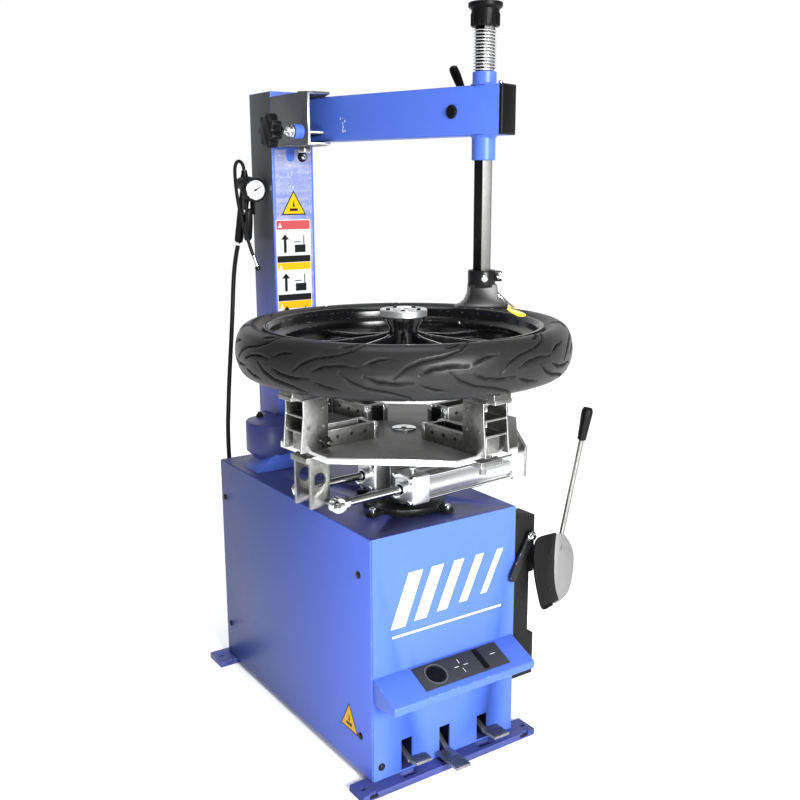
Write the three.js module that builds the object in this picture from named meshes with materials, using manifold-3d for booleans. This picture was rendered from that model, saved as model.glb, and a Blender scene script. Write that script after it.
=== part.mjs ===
// Tyre changer for motorcycle wheels, as an assembly of its separate pieces.
// Millimetres. +X is the operator's right, +Y is away from the operator, +Z is up.
// The pieces are laid out from the middle of the cabinet's front edge, with Z = 0 at the cabinet's
// underside. At the end the whole machine is moved so that its origin is on the floor, in the middle
// of the box that holds everything except the two air hoses and the chuck.
import * as THREE from 'three';
import { mergeVertices } from 'three/addons/utils/BufferGeometryUtils.js';
import Module from 'manifold-3d';

const wasm = await Module();
wasm.setup();

// Cabinet
const cabinetWidth = 400;
const cabinetDepth = 761;
const cabinetHeight = 568;
const sheet = 3;
const gap = 0.3;
const footHeight = 16;
const footLength = 492;
const half = cabinetWidth / 2;

// Turntable: the plate's top face is the table's zero height
const tableCentre = [0, 167];
const tableTop = 748;
const tableTurn = 5;
const plateThickness = 14;
const plateReach = 278;
const plateCorner = 259;
const railInner = 109;
const railOuter = 276;
const railHeight = 38;
const towerInner = 236;
const towerOuter = 298;
const towerHeight = 113;
const towerHalfWidth = 35;
const clampAxisHeight = -116;
const clampAxisOffset = 70;
const barrelRadius = 31;
const shaftRadius = 28;

// Wheel that is being worked on
const tyreRadius = 377;
const tyreHalfWidth = 55;
const wheelHeight = 943 - tableTop;
const spokeCount = 8;
const firstSpoke = 5.7;

// Column and swing arm
const columnSize = 120;
const columnLeft = -65;
const columnFront = 665;
const columnTop = 1528;
const armPivot = [-5, 600];
const toolAxis = [156, 84];
const armBottom = 1400;
const armTop = 1505;
const armHalfWidth = 28;
const armTail = 36;
const armReach = 596;
const sleeveRadius = 26;
const hexAcrossFlats = 38;

// Bead breaker
const breakerPivot = [292, 705];
const breakerHeight = 410;

const finishes = {
  bluePaint: [0x4f66dd, 0.35, 0.25],
  blackPaint: [0x141416, 0.45, 0.3],
  darkSteel: [0x4a4d52, 0.42, 0.8],
  zincSteel: [0xb7b9b8, 0.35, 0.9],
  castAluminium: [0xb0b2b4, 0.4, 0.85],
  chrome: [0xd8dadc, 0.12, 1],
  blackPlastic: [0x17171a, 0.5, 0],
  greyPlastic: [0x45474c, 0.6, 0],
  yellowPlastic: [0xe3c31b, 0.45, 0],
  blackRubber: [0x1a1a1b, 0.8, 0],
  tyreRubber: [0x222223, 0.7, 0],
  glossBlack: [0x08080a, 0.12, 0.2],
  wornSteel: [0x77787a, 0.5, 0.85],
};

const degrees = THREE.MathUtils.degToRad;

// Solids: three.js geometries are joined and cut as closed meshes of shared vertices
const asSolid = (geometry) => {
  const bare = geometry.clone();
  bare.deleteAttribute('normal');
  bare.deleteAttribute('uv');
  const merged = mergeVertices(bare, 1e-4);
  return new wasm.Manifold(new wasm.Mesh({
    numProp: 3,
    vertProperties: Float32Array.from(merged.attributes.position.array),
    triVerts: Uint32Array.from(merged.index.array),
  }));
};

const asGeometry = (solid) => {
  const mesh = solid.getMesh();
  const geometry = new THREE.BufferGeometry();
  geometry.setAttribute('position', new THREE.BufferAttribute(mesh.vertProperties, 3));
  geometry.setIndex(new THREE.BufferAttribute(mesh.triVerts, 1));
  return geometry;
};

const join = (...shapes) => asGeometry(shapes.map(asSolid).reduce((whole, next) => whole.add(next)));

const cut = (base, ...tools) => asGeometry(
  tools.map(asSolid).reduce((whole, tool) => whole.subtract(tool), asSolid(base)),
);

// A block between two corners
const block = (x0, x1, y0, y1, z0, z1) => new THREE.BoxGeometry(x1 - x0, y1 - y0, z1 - z0)
  .translate((x0 + x1) / 2, (y0 + y1) / 2, (z0 + z1) / 2);

// The turn that lays a shape drawn in XY so that its depth runs along an axis
const axisX = new THREE.Vector3(1, 0, 0);
const axisY = new THREE.Vector3(0, 1, 0);
const axisZ = new THREE.Vector3(0, 0, 1);
const lay = {
  x: new THREE.Matrix4().makeBasis(axisY, axisZ, axisX),
  y: new THREE.Matrix4().makeBasis(axisZ, axisX, axisY),
  z: new THREE.Matrix4().identity(),
};

// A round bar along an axis: centre gives the other two coordinates in X, Y, Z order
const bar = (axis, radius, from, to, centre, sides = 16, endRadius = radius) => {
  const shape = new THREE.CylinderGeometry(endRadius, radius, to - from, sides).rotateX(Math.PI / 2);
  const middle = (from + to) / 2;
  shape.translate(0, 0, middle).applyMatrix4(lay[axis]);
  if (axis === 'x') return shape.translate(0, centre[0], centre[1]);
  if (axis === 'y') return shape.translate(centre[0], 0, centre[1]);
  return shape.translate(centre[0], centre[1], 0);
};

// A flat outline with thickness: points are XY for axis z, YZ for axis x and ZX for axis y
const prism = (axis, points, from, to) => {
  const outline = new THREE.Shape(points.map(([u, v]) => new THREE.Vector2(u, v)));
  return new THREE.ExtrudeGeometry(outline, { depth: to - from, bevelEnabled: false })
    .translate(0, 0, from)
    .applyMatrix4(lay[axis]);
};

// A plate in the XZ plane, drawn with its points as X and Z
const standingPlate = (points, from, to) => prism('y', points.map(([x, z]) => [z, x]), from, to);

// A turned shape about Z, from points of radius and height that close on themselves or on the axis
const turned = (points, sides) => new THREE.LatheGeometry(
  points.map(([radius, height]) => new THREE.Vector2(radius, height)),
  sides,
).rotateX(Math.PI / 2);

// A round bar between two points
const strut = (start, end, radius, sides = 12, endRadius = radius) => {
  const from = new THREE.Vector3(...start);
  const to = new THREE.Vector3(...end);
  const along = to.clone().sub(from);
  const turn = new THREE.Quaternion().setFromUnitVectors(axisY, along.clone().normalize());
  const middle = from.clone().add(to).multiplyScalar(0.5);
  return new THREE.CylinderGeometry(endRadius, radius, along.length(), sides)
    .applyQuaternion(turn)
    .translate(middle.x, middle.y, middle.z);
};

const addPiece = (group, name, geometry, finish) => {
  const [color, roughness, metalness] = finishes[finish];
  const mesh = new THREE.Mesh(geometry, new THREE.MeshStandardMaterial({ color, roughness, metalness }));
  mesh.name = name;
  group.add(mesh);
};

const machine = new THREE.Group();

// ---- Cabinet: folded sheet with an open left side that a screwed cover closes ----

const pedals = [
  { name: 'pedal_left', slot: -108, slotTop: 79, padCentre: -83, reach: -35, padHeight: 30, padWidth: 42 },
  { name: 'pedal_middle', slot: -2, slotTop: 75, padCentre: -12, reach: -87, padHeight: 18, padWidth: 40 },
  { name: 'pedal_right', slot: 108, slotTop: 67, padCentre: 128, reach: -53, padHeight: 30, padWidth: 42 },
];
const slotHalfWidth = 15;
const pedalPivot = { y: 78, z: 46 };

const cabinetShell = () => {
  const leftWall = -half + sheet + gap;
  const inside = block(
    leftWall + sheet, half - sheet, sheet, cabinetDepth - sheet, sheet, cabinetHeight - sheet,
  );
  const coverOpening = block(-half - 1, leftWall + 8, 22, cabinetDepth - 22, 22, cabinetHeight - 22);
  const spindleHole = bar('z', 62, cabinetHeight - 8, cabinetHeight + 8, tableCentre, 24);
  const rodHole = bar('x', 16, half - 8, half + 8, [520, breakerHeight]);
  const slots = pedals.map(({ slot, slotTop }) => (
    block(slot - slotHalfWidth, slot + slotHalfWidth, -5, 8, sheet + 1, slotTop)
  ));
  const whole = block(leftWall, half, 0, cabinetDepth, 0, cabinetHeight);
  return cut(whole, inside, coverOpening, spindleHole, rodHole, ...slots);
};
addPiece(machine, 'cabinet_shell', cabinetShell(), 'bluePaint');

const sideCover = block(-half, -half + sheet, 1, cabinetDepth - 1, 1, cabinetHeight - 1);
addPiece(machine, 'left_side_cover', sideCover, 'bluePaint');

// ---- Feet: two cross bars, drilled for floor anchors, with windows below the pedals ----

const foot = (front, back, windows) => {
  const anchorY = (front + back) / 2;
  const anchors = [-1, 1].map((side) => bar('z', 7, -footHeight - 5, 5, [side * 230, anchorY], 16));
  const notches = [-1, 1].map((side) => {
    const middle = side * 218;
    return block(middle - 9, middle + 9, front - 1, front + 7, -footHeight + 4, 1);
  });
  const body = block(-footLength / 2, footLength / 2, front, back, -footHeight, -gap);
  return cut(body, ...anchors, ...notches, ...windows);
};
const pedalWindows = pedals.map(({ slot }) => (
  block(slot - slotHalfWidth - 8, slot + slotHalfWidth + 2, -24, -2, -footHeight + 4, 1)
));
addPiece(machine, 'front_foot', foot(-34, 24, pedalWindows), 'bluePaint');
addPiece(machine, 'rear_foot', foot(712, 785, []), 'bluePaint');

// ---- Pedals: a lever through each slot, hinged on its own trunnion inside the cabinet ----

const pedal = ({ slot, padCentre, reach, padHeight, padWidth }) => {
  const lever = prism('x', [
    [pedalPivot.y + 12, pedalPivot.z - 8],
    [pedalPivot.y + 12, pedalPivot.z + 8],
    [pedalPivot.y - 40, pedalPivot.z + 6],
    [-6, padHeight + 6],
    [-14, padHeight + 2],
    [-14, padHeight - 4],
    [pedalPivot.y - 40, pedalPivot.z - 6],
  ], slot - 6, slot + 6);
  const edge = padCentre > slot ? slot - 6 : slot + 6;
  const far = padCentre + Math.sign(padCentre - slot) * padWidth / 2;
  const left = Math.min(edge, far, padCentre - padWidth / 2);
  const right = Math.max(edge, far, padCentre + padWidth / 2);
  const shoulder = block(
    Math.min(edge, padCentre), Math.max(edge, padCentre), -14, -6, padHeight - 4, padHeight + 2,
  );
  const pad = prism('z', [
    [left, -8],
    [padCentre - padWidth / 2, reach],
    [padCentre + padWidth / 2, reach],
    [right, -8],
  ], padHeight - 4, padHeight + 2);
  const trunnion = bar('x', 10, slot - 16, slot + 16, [pedalPivot.y, pedalPivot.z]);
  return join(lever, shoulder, pad, trunnion);
};
pedals.forEach((one) => addPiece(machine, one.name, pedal(one), 'wornSteel'));

// ---- Console: a sloping shelf on the front with a moulded panel let into its top ----

const shelfHalfWidth = 196;
const shelfBackHeight = 250;
const shelfFront = { y: -83, z: 215 };
const shelf = prism('x', [
  [-gap, shelfBackHeight - 62],
  [-gap, shelfBackHeight],
  [shelfFront.y, shelfFront.z],
  [shelfFront.y, shelfFront.z - 18],
], -shelfHalfWidth, shelfHalfWidth);
addPiece(machine, 'console_shelf', shelf, 'bluePaint');

const slope = new THREE.Vector2(shelfFront.y, shelfFront.z - shelfBackHeight).normalize();
const onSlope = (along, above) => [
  slope.x * along + slope.y * above,
  shelfBackHeight + slope.y * along - slope.x * above,
];
const panelOutline = [onSlope(74, gap), onSlope(74, 4), onSlope(8, 4), onSlope(8, gap)];
const panel = prism('x', panelOutline, -102, 134);
addPiece(machine, 'console_panel', panel, 'greyPlastic');

// ---- Drive: motor and worm gearbox hang below the cabinet top, the bearing nose stands above it ----

const [tableX, tableY] = tableCentre;
const gearbox = () => {
  const housing = block(-95, 95, tableY - 85, tableY + 93, 400, cabinetHeight - sheet - gap);
  const neck = bar('z', 55, 500, cabinetHeight + 12, tableCentre, 24);
  const noseFlange = bar('z', 96, cabinetHeight + gap, cabinetHeight + 14, tableCentre, 24);
  const nose = bar('z', 50, cabinetHeight, cabinetHeight + 24, tableCentre, 24);
  const legs = [20, 110, 200, 290].map((angle) => (
    block(80, 132, -11, 11, cabinetHeight + gap, cabinetHeight + 8)
      .rotateZ(degrees(angle))
      .translate(tableX, tableY, 0)
  ));
  const bore = bar('z', shaftRadius + 13, 450, cabinetHeight + 40, tableCentre, 24);
  return cut(join(housing, neck, noseFlange, nose, ...legs), bore);
};
addPiece(machine, 'gearbox', gearbox(), 'blackPaint');

const motorX = -78;
const motor = () => {
  const frame = bar('y', 68, tableY + 93 + gap, tableY + 310, [motorX, 470], 20);
  const fanCover = bar('y', 62, tableY + 305, tableY + 352, [motorX, 470], 20);
  const terminalBox = block(motorX - 40, motorX + 40, tableY + 150, tableY + 240, 520, 556);
  return join(frame, fanCover, terminalBox);
};
addPiece(machine, 'drive_motor', motor(), 'blackPaint');

// ---- Turntable: plate, guides and wheel turn on the spindle ----

const table = new THREE.Group();
table.position.set(tableX, tableY, tableTop);
table.rotation.z = degrees(tableTurn);
machine.add(table);

const jawSides = [
  { side: 'right', turn: 0 },
  { side: 'rear', turn: 90 },
  { side: 'left', turn: 180 },
  { side: 'front', turn: 270 },
];

const tablePlate = () => {
  const reach = plateReach;
  const corner = plateCorner * Math.SQRT2 - reach;
  const outline = [
    [reach, -corner], [reach, corner], [corner, reach], [-corner, reach],
    [-reach, corner], [-reach, -corner], [-corner, -reach], [corner, -reach],
  ];
  const slots = jawSides.map(({ turn }) => (
    block(178, reach + 10, -12, 12, -plateThickness - 5, 5).rotateZ(degrees(turn))
  ));
  return cut(prism('z', outline, -plateThickness, 0), ...slots, bar('z', 28 + gap, -30, 5, [0, 0], 24));
};
addPiece(table, 'turntable_plate', tablePlate(), 'zincSteel');

const spindle = turned([
  [0, 500 - tableTop], [shaftRadius + 12, 500 - tableTop], [shaftRadius + 12, -158], [shaftRadius, -152],
  [shaftRadius, -40], [62, -28], [62, -plateThickness - gap], [28, -plateThickness - gap],
  [28, 1.5], [0, 1.5],
], 24);
addPiece(table, 'spindle', spindle, 'zincSteel');

// Two guide rails and the bridge that ties their inner ends
const jawGuide = () => {
  const rails = [-1, 1].map((side) => {
    const near = side * 19;
    const far = side * 31;
    return block(railInner, railOuter, Math.min(near, far), Math.max(near, far), gap, railHeight);
  });
  return join(...rails, block(railInner, railInner + 9, -31, 31, gap, railHeight));
};
jawSides.forEach(({ side, turn }) => {
  addPiece(table, `jaw_guide_${side}`, jawGuide().rotateZ(degrees(turn)), 'zincSteel');
});

// Every slide has a tongue between the rails, a neck through the plate's slot and a keeper below it
const slideCore = () => [
  block(242, 290, -18.6, 18.6, gap + 0.2, 36),
  block(248, 272, -11, 11, -20, 5),
  block(232, 290, -31, 31, -27, -plateThickness - 0.5),
];
const lugHole = bar('y', 16, -60, 60, [257, -66], 24);
const slideWithLugs = () => {
  const lugs = [-1, 1].map((side) => {
    const near = side * 25;
    const far = side * 31;
    return block(232, 282, Math.min(near, far), Math.max(near, far), -128, -20);
  });
  const crossPin = bar('y', 7, -86, 86, [241, clampAxisHeight], 16);
  return join(cut(join(...slideCore(), ...lugs), lugHole), crossPin);
};
const slideWithEndPlate = () => {
  const crossPlate = prism('x', [
    [-104, -148], [104, -148], [104, -75], [60, -27], [-60, -27], [-104, -75],
  ], 296, 302);
  const shelfPlate = block(250, 302, -60, 60, -33, -26);
  const window = bar('x', 24, 290, 310, [0, -96], 24);
  return join(...slideCore(), shelfPlate, cut(crossPlate, window));
};
const slideWithStud = () => join(...slideCore(), bar('z', 8, -50, -20, [262, 0], 16));
const slideShapes = {
  right: slideWithEndPlate,
  left: slideWithLugs,
  front: slideWithStud,
  rear: slideWithStud,
};
jawSides.forEach(({ side, turn }) => {
  addPiece(table, `jaw_slide_${side}`, slideShapes[side]().rotateZ(degrees(turn)), 'zincSteel');
});

// Raised jaw: two side plates with shelves between them, open to the outside, and a stepped rim rest
const jawAdapter = () => {
  const inner = towerHalfWidth - 3.6;
  const cheek = (from, to) => prism('y', [
    [0.5, towerInner], [0.5, towerOuter + 8], [towerHeight * 0.72, towerOuter], [towerHeight, towerOuter],
    [towerHeight, towerInner],
  ], from, to);
  const web = block(towerInner, towerInner + 4, -inner - 1, inner + 1, railHeight + 1, towerHeight);
  const shelves = [railHeight + 1, 73, towerHeight - 4].map((height) => (
    block(towerInner + 1, towerOuter - 1, -inner - 1, inner + 1, height, height + 4)
  ));
  const rest = block(250, 320, -24, 24, towerHeight - 1, towerHeight + 8);
  const step = block(297, 317, -24, 24, towerHeight, wheelHeight - 50 - gap);
  return join(cheek(-towerHalfWidth, -inner), cheek(inner, towerHalfWidth), web, ...shelves, rest, step);
};
jawSides.forEach(({ side, turn }) => {
  addPiece(table, `jaw_adapter_${side}`, jawAdapter().rotateZ(degrees(turn)), 'zincSteel');
});

// Clamping cylinders: the barrels are bolted to the right slide, the rods pull the left slide
const clampBarrel = (offset) => {
  const centre = [offset, clampAxisHeight];
  const head = (from, to) => block(
    from, to, offset - 34, offset + 34, clampAxisHeight - 34, clampAxisHeight + 34,
  );
  const tube = bar('x', barrelRadius, -10, 262, centre, 20);
  const bore = bar('x', barrelRadius - 4, -20, 255, centre, 20);
  const gland = bar('x', 12.5, -70, 0, centre, 20);
  return cut(join(head(-58, -8), tube, head(256, 296 - gap)), bore, gland);
};
const clampRod = (offset) => {
  const centre = [offset, clampAxisHeight];
  const rod = bar('x', 9, -228, 98, centre, 16);
  const piston = bar('x', barrelRadius - 4.4, 84, 100, centre, 20);
  const eye = bar('y', 17, offset - 9, offset + 9, [-241, clampAxisHeight], 20);
  const eyeBore = bar('y', 7.4, offset - 20, offset + 20, [-241, clampAxisHeight], 20);
  return cut(join(rod, piston, eye), eyeBore);
};
[['front', -clampAxisOffset], ['rear', clampAxisOffset]].forEach(([place, offset]) => {
  addPiece(table, `clamp_barrel_${place}`, clampBarrel(offset), 'castAluminium');
  addPiece(table, `clamp_rod_${place}`, clampRod(offset), 'chrome');
});

// ---- Wheel on the jaws ----

const aboutWheel = (points) => points.map(([radius, height]) => [radius, height + wheelHeight]);
const mirrored = (points) => [...points, ...points.map(([radius, height]) => [radius, -height]).reverse()];
const closed = (points) => [...points, points[0]];

const tyre = () => {
  const widest = tyreHalfWidth;
  const lowerOutside = [
    [314, -41.5], [330, 3 - widest], [347, -widest], [364, 11 - widest], [tyreRadius - 4, -25],
  ];
  const upperInside = [[304.6, 39], [302.8, 26], [312, 30], [330, 41], [347, 43], [357, 34], [364, 18]];
  const outside = [...lowerOutside, [tyreRadius, 0], ...lowerOutside.map(([r, z]) => [r, -z]).reverse()];
  const inside = [...upperInside, [tyreRadius - 10, 0], ...upperInside.map(([r, z]) => [r, -z]).reverse()];
  return turned(aboutWheel(closed([...outside, ...inside])), 32);
};
addPiece(table, 'tyre', tyre(), 'tyreRubber');

const wheelRim = () => {
  const outside = mirrored([[313, -50], [313, -43], [304, -40], [302, -24], [282, -16]]);
  const inside = mirrored([[276, 18], [296, 26], [298, 41], [306, 50]].reverse());
  const barrel = turned(aboutWheel(closed([...outside, ...inside])), 32);
  const hub = turned(aboutWheel(closed([
    [12, -50], [52, -50], [52, -36], [34, -26], [34, 40], [53, 66], [53, 82], [12, 82],
  ])), 20);
  const spokes = Array.from({ length: spokeCount }, (_, spoke) => {
    const angle = degrees(firstSpoke + spoke * 360 / spokeCount);
    const from = [Math.cos(angle) * 30, Math.sin(angle) * 30, wheelHeight + 10];
    const to = [Math.cos(angle) * 280, Math.sin(angle) * 280, wheelHeight];
    return strut(from, to, 8, 6);
  });
  return join(barrel, hub, ...spokes);
};
addPiece(table, 'wheel_rim', wheelRim(), 'glossBlack');

// ---- Column: square tube on a drum-shaped base with a sloping gusset ----

const columnBase = () => {
  const drum = bar('z', 68, 612, 690, [-102, 640], 24);
  const drumFoot = bar('z', 46, 590, 612, [-102, 640], 24, 68);
  const plinth = block(columnLeft - 8, 63, columnFront - 10, 760, cabinetHeight + gap, 686);
  const gusset = prism('y', [
    [cabinetHeight + gap, -178], [660, columnLeft], [660, -30], [cabinetHeight + gap, -30],
  ], 576, 660);
  const column = block(columnLeft - gap, columnLeft + columnSize + gap, columnFront - gap, 800, 560, 800);
  return cut(join(drum, drumFoot, plinth, gusset), column);
};
addPiece(machine, 'column_base', columnBase(), 'bluePaint');

const column = () => {
  const right = columnLeft + columnSize;
  const back = columnFront + columnSize;
  const outer = block(columnLeft, right, columnFront, back, cabinetHeight + gap, columnTop);
  const bore = block(columnLeft + 5, right - 5, columnFront + 5, back - 5, cabinetHeight - 5, columnTop - 4);
  const clearance = block(
    columnLeft - 5, right + 5, cabinetDepth, back + 5, cabinetHeight - 5, cabinetHeight + gap,
  );
  return cut(outer, bore, clearance);
};
addPiece(machine, 'column', column(), 'bluePaint');

// ---- Arm bracket: a channel that opens to the right, with the boss of the stop screw ----

const bracketBottom = 1391;
const bracketTop = 1514;
const stopScrew = { y: 504, z: 1422 };
const armBracket = () => {
  const flangeOutline = [
    [columnLeft + 2, 472], [-4, 472], [24, 545], [24, 640], [10, columnFront - gap],
    [columnLeft + 2, columnFront - gap],
  ];
  const web = block(columnLeft, columnLeft + 6, 472, columnFront - gap, bracketBottom, bracketTop);
  const top = prism('z', flangeOutline, bracketTop - 6, bracketTop);
  const bottom = prism('z', flangeOutline, bracketBottom, bracketBottom + 6);
  const boss = bar('x', 16, columnLeft - 24, columnLeft + 3, [stopScrew.y, stopScrew.z]);
  const screwHole = bar('x', 7, -120, columnLeft + 20, [stopScrew.y, stopScrew.z], 16);
  const pinHole = bar('z', 11, bracketBottom - 5, bracketTop + 5, armPivot, 20);
  return cut(join(web, top, bottom, boss), screwHole, pinHole);
};
addPiece(machine, 'arm_bracket', armBracket(), 'darkSteel');

// Stop screw: a lobed hand knob on a stud whose tip stops the arm
const stopKnob = () => {
  const lobes = 7;
  const outline = Array.from({ length: lobes * 4 }, (_, step) => {
    const angle = step * 2 * Math.PI / (lobes * 4);
    const radius = 36 + 5 * Math.cos(lobes * angle);
    return [stopScrew.y + radius * Math.cos(angle), stopScrew.z + radius * Math.sin(angle)];
  });
  const knob = prism('x', outline, -163, -134);
  const hub = bar('x', 15, -140, -118, [stopScrew.y, stopScrew.z]);
  const stud = bar('x', 6.6, -130, -7, [stopScrew.y, stopScrew.z], 16);
  return join(knob, hub, stud);
};
addPiece(machine, 'stop_knob', stopKnob(), 'blackPlastic');

const pivotPin = () => {
  const shank = bar('z', 10.4, bracketBottom - 12, bracketTop + 4, armPivot, 20);
  const head = bar('z', 17, bracketTop + gap, bracketTop + 11, armPivot, 6);
  const nut = bar('z', 17, bracketBottom - 14, bracketBottom - gap, armPivot, 6);
  return join(shank, head, nut);
};
addPiece(machine, 'pivot_pin', pivotPin(), 'chrome');

// ---- Swing arm, drawn with its pivot at the origin and its length along +X ----

const armLength = Math.hypot(toolAxis[0] - armPivot[0], toolAxis[1] - armPivot[1]);
const armAngle = Math.atan2(toolAxis[1] - armPivot[1], toolAxis[0] - armPivot[0]);
const arm = new THREE.Group();
arm.position.set(armPivot[0], armPivot[1], 0);
arm.rotation.z = armAngle;
machine.add(arm);

const clampPlace = { along: 475, height: 1452 };
const springTop = 1624;
const sleeveTop = 1533;
const swingArm = () => {
  const tube = block(-armTail, armReach, -armHalfWidth, armHalfWidth, armBottom, armTop);
  const inside = block(
    -armTail + 4, armReach + 5, -armHalfWidth + 4, armHalfWidth - 4, armBottom + 4, armTop - 4,
  );
  const pinTube = bar('z', 17, armBottom, armTop, [0, 0], 24);
  const sleeve = bar('z', sleeveRadius, 1348, sleeveTop, [armLength, 0], 24);
  const pinBore = bar('z', 10.8, armBottom - 5, armTop + 5, [0, 0], 24);
  const sleeveBore = bar('z', 22.6, 1340, sleeveTop + 5, [armLength, 0], 24);
  const clampHole = bar('y', 8, -60, 60, [clampPlace.along, clampPlace.height], 16);
  return cut(join(cut(tube, inside), pinTube, sleeve), pinBore, sleeveBore, clampHole);
};
addPiece(arm, 'swing_arm', swingArm(), 'bluePaint');
addPiece(arm, 'arm_end_cap', join(
  block(armReach + gap, armReach + 9, -armHalfWidth, armHalfWidth, armBottom, armTop),
  block(armReach - 15, armReach + 1, -armHalfWidth + 4.4, armHalfWidth - 4.4, armBottom + 4.4, armTop - 4.4),
), 'blackPlastic');

// Clamp lever: its bolt runs across the arm, with a round head on the left face
const clampLever = () => {
  const { along, height } = clampPlace;
  const bolt = bar('y', 7.5, -armHalfWidth - 6, armHalfWidth + 6, [along, height], 16);
  const head = bar('y', 14, -armHalfWidth - 8, -armHalfWidth - gap, [along, height], 20);
  const hub = bar('y', 14, armHalfWidth + gap, armHalfWidth + 22, [along, height], 20);
  const handleBase = [along - 4, armHalfWidth + 16, height + 5];
  const handleEnd = [along - 58, armHalfWidth + 26, height + 106];
  const handle = strut(handleBase, handleEnd, 8, 12, 11);
  return join(bolt, head, hub, handle);
};
addPiece(arm, 'clamp_lever', clampLever(), 'blackPlastic');

// ---- Tool post: hexagonal shaft, cap and spring above the arm, mount head below it ----

const hexRadius = hexAcrossFlats / Math.sqrt(3);
const post = new THREE.Group();
post.position.set(armLength, 0, 0);
arm.add(post);
addPiece(post, 'hex_shaft', bar('z', hexRadius, 1076, 1655, [0, 0], 6).rotateZ(degrees(30)), 'wornSteel');
addPiece(post, 'return_spring', turned(closed([
  [22.8, sleeveTop + gap], [25.4, sleeveTop + gap], [25.4, springTop - gap], [22.8, springTop - gap],
]), 24), 'zincSteel');
const postCap = cut(
  turned([[0, springTop], [30, springTop], [30.5, 1660], [37, 1664], [37, 1673], [0, 1673]], 24),
  bar('z', 22.3, springTop - 5, 1656, [0, 0], 24),
);
addPiece(post, 'post_cap', postCap, 'blackPlastic');

// Mount head: points out from the wheel's axis, which it straddles the rim from
const head = new THREE.Group();
const outward = Math.atan2(toolAxis[1] - tableY, toolAxis[0] - tableX);
head.rotation.z = outward - armAngle;
post.add(head);
const mountHead = () => {
  const duck = standingPlate([
    [-60, 1026], [56, 1022.5], [56, 1030], [74, 1021.5], [76, 1025.5], [52, 1040], [34, 1054], [30, 1080],
    [-28, 1080], [-30, 1052], [-40, 1036], [-60, 1031],
  ], -24, 24);
  const collar = bar('z', 31, 1070, 1110, [0, 0], 20);
  const ear = block(24, 46, -12, 12, 1084, 1108);
  const socket = bar('z', 22.3, 1075.7, 1120, [0, 0], 24);
  return cut(join(duck, collar, ear), socket);
};
addPiece(head, 'mount_head', mountHead(), 'blackPaint');
addPiece(head, 'tool_insert', standingPlate([
  [56 + gap, 1021], [66, 1013.5], [82, 1004.5], [94, 1003], [101, 1006], [98, 1010.5], [86, 1015.2],
  [74, 1020.8], [56 + gap, 1029.2],
], -14, 14), 'yellowPlastic');

// ---- Right side: rubber wheel pads and the bead breaker ----

const sidePad = join(
  block(half + gap, 261, 1, 60, 394, 536),
  block(half + gap, 247, 1, 60, 230, 400),
  block(half + gap, 265, 1, 60, 128, 235),
  block(half + gap, 212, 40, 430, 128, 540),
);
addPiece(machine, 'side_pad', sidePad, 'blackRubber');

const [hingeX, hingeY] = breakerPivot;
const hingeBracket = () => {
  const plate = block(half + gap, 207, 640, 757, 345, 475);
  const ears = [[372, 384], [436, 448]].map(([low, high]) => (
    join(block(200.5, hingeX, hingeY - 24, hingeY + 24, low, high), bar('z', 24, low, high, breakerPivot, 24))
  ));
  return join(plate, ...ears, bar('z', 9.6, 366, 454, breakerPivot, 20));
};
addPiece(machine, 'breaker_hinge_bracket', hingeBracket(), 'blackPaint');

const breakerCylinder = () => {
  const body = bar('x', 92, 22, 172, [520, breakerHeight], 24);
  const ports = bar('x', 100, 12, 26, [520, breakerHeight], 24);
  const cover = bar('x', 100, 168, half - sheet - gap, [520, breakerHeight], 24);
  const rodBore = bar('x', 13, 34, 220, [520, breakerHeight], 20);
  return cut(join(body, ports, cover), rodBore);
};
addPiece(machine, 'breaker_cylinder', breakerCylinder(), 'castAluminium');
addPiece(machine, 'breaker_rod', join(
  bar('x', 12, 40, 270, [520, breakerHeight], 20),
  bar('x', 14, 262, 271, [520, breakerHeight], 20),
), 'chrome');

const breakerArm = () => {
  const tube = block(272, 312, 34, hingeY - 26, breakerHeight - 22, breakerHeight + 22);
  const eye = bar('z', 24, 384.5, 435.5, breakerPivot, 24);
  const neck = block(276, 308, hingeY - 40, hingeY, 388, 432);
  const hingeBore = bar('z', 10.1, 370, 450, breakerPivot, 20);
  const cheeks = [[272, 282], [302, 312]].map(([from, to]) => prism('x', [
    [40, 390], [40, 430], [6, 424], [-4, 410], [6, 396],
  ], from, to));
  const bladePin = bar('x', 6, 270, 314, [8, breakerHeight], 16);
  return join(cut(join(tube, eye, neck), hingeBore), ...cheeks, bladePin);
};
addPiece(machine, 'breaker_arm', breakerArm(), 'blackPaint');

const bladeHandle = { base: [325, -20, 452], top: [383, -20, 702], end: [401, -20, 781] };
const breakerBlade = () => {
  const plate = standingPlate([
    [300, 308], [322, 306], [355, 325], [364, 350], [369, 382], [368, 420], [352, 455], [328, 484],
    [300, 478],
  ], -24, -20);
  const lug = cut(
    block(286, 298, -21, 18, breakerHeight - 14, breakerHeight + 14),
    bar('x', 6.4, 280, 305, [8, breakerHeight], 16),
  );
  const bridge = block(286, 306, -24, -16, breakerHeight - 14, breakerHeight + 14);
  return join(plate, lug, bridge, strut(bladeHandle.base, bladeHandle.top, 6, 14));
};
addPiece(machine, 'breaker_blade', breakerBlade(), 'zincSteel');

// Guard: a curved plastic strip that covers the blade's working edge
const guard = standingPlate([
  [303, 490], [258, 490], [241, 484], [234, 445], [237, 400], [248, 357], [260, 314], [268, 306], [318, 316],
  [307, 345], [300, 380], [298, 420], [300, 460],
], -31, -24.3);
addPiece(machine, 'blade_guard', guard, 'blackPlastic');

const grip = strut(
  [bladeHandle.top[0] + 0.2, bladeHandle.top[1], bladeHandle.top[2] + 0.6], bladeHandle.end, 11, 16, 14,
);
addPiece(machine, 'handle_grip', grip, 'blackPlastic');

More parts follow.
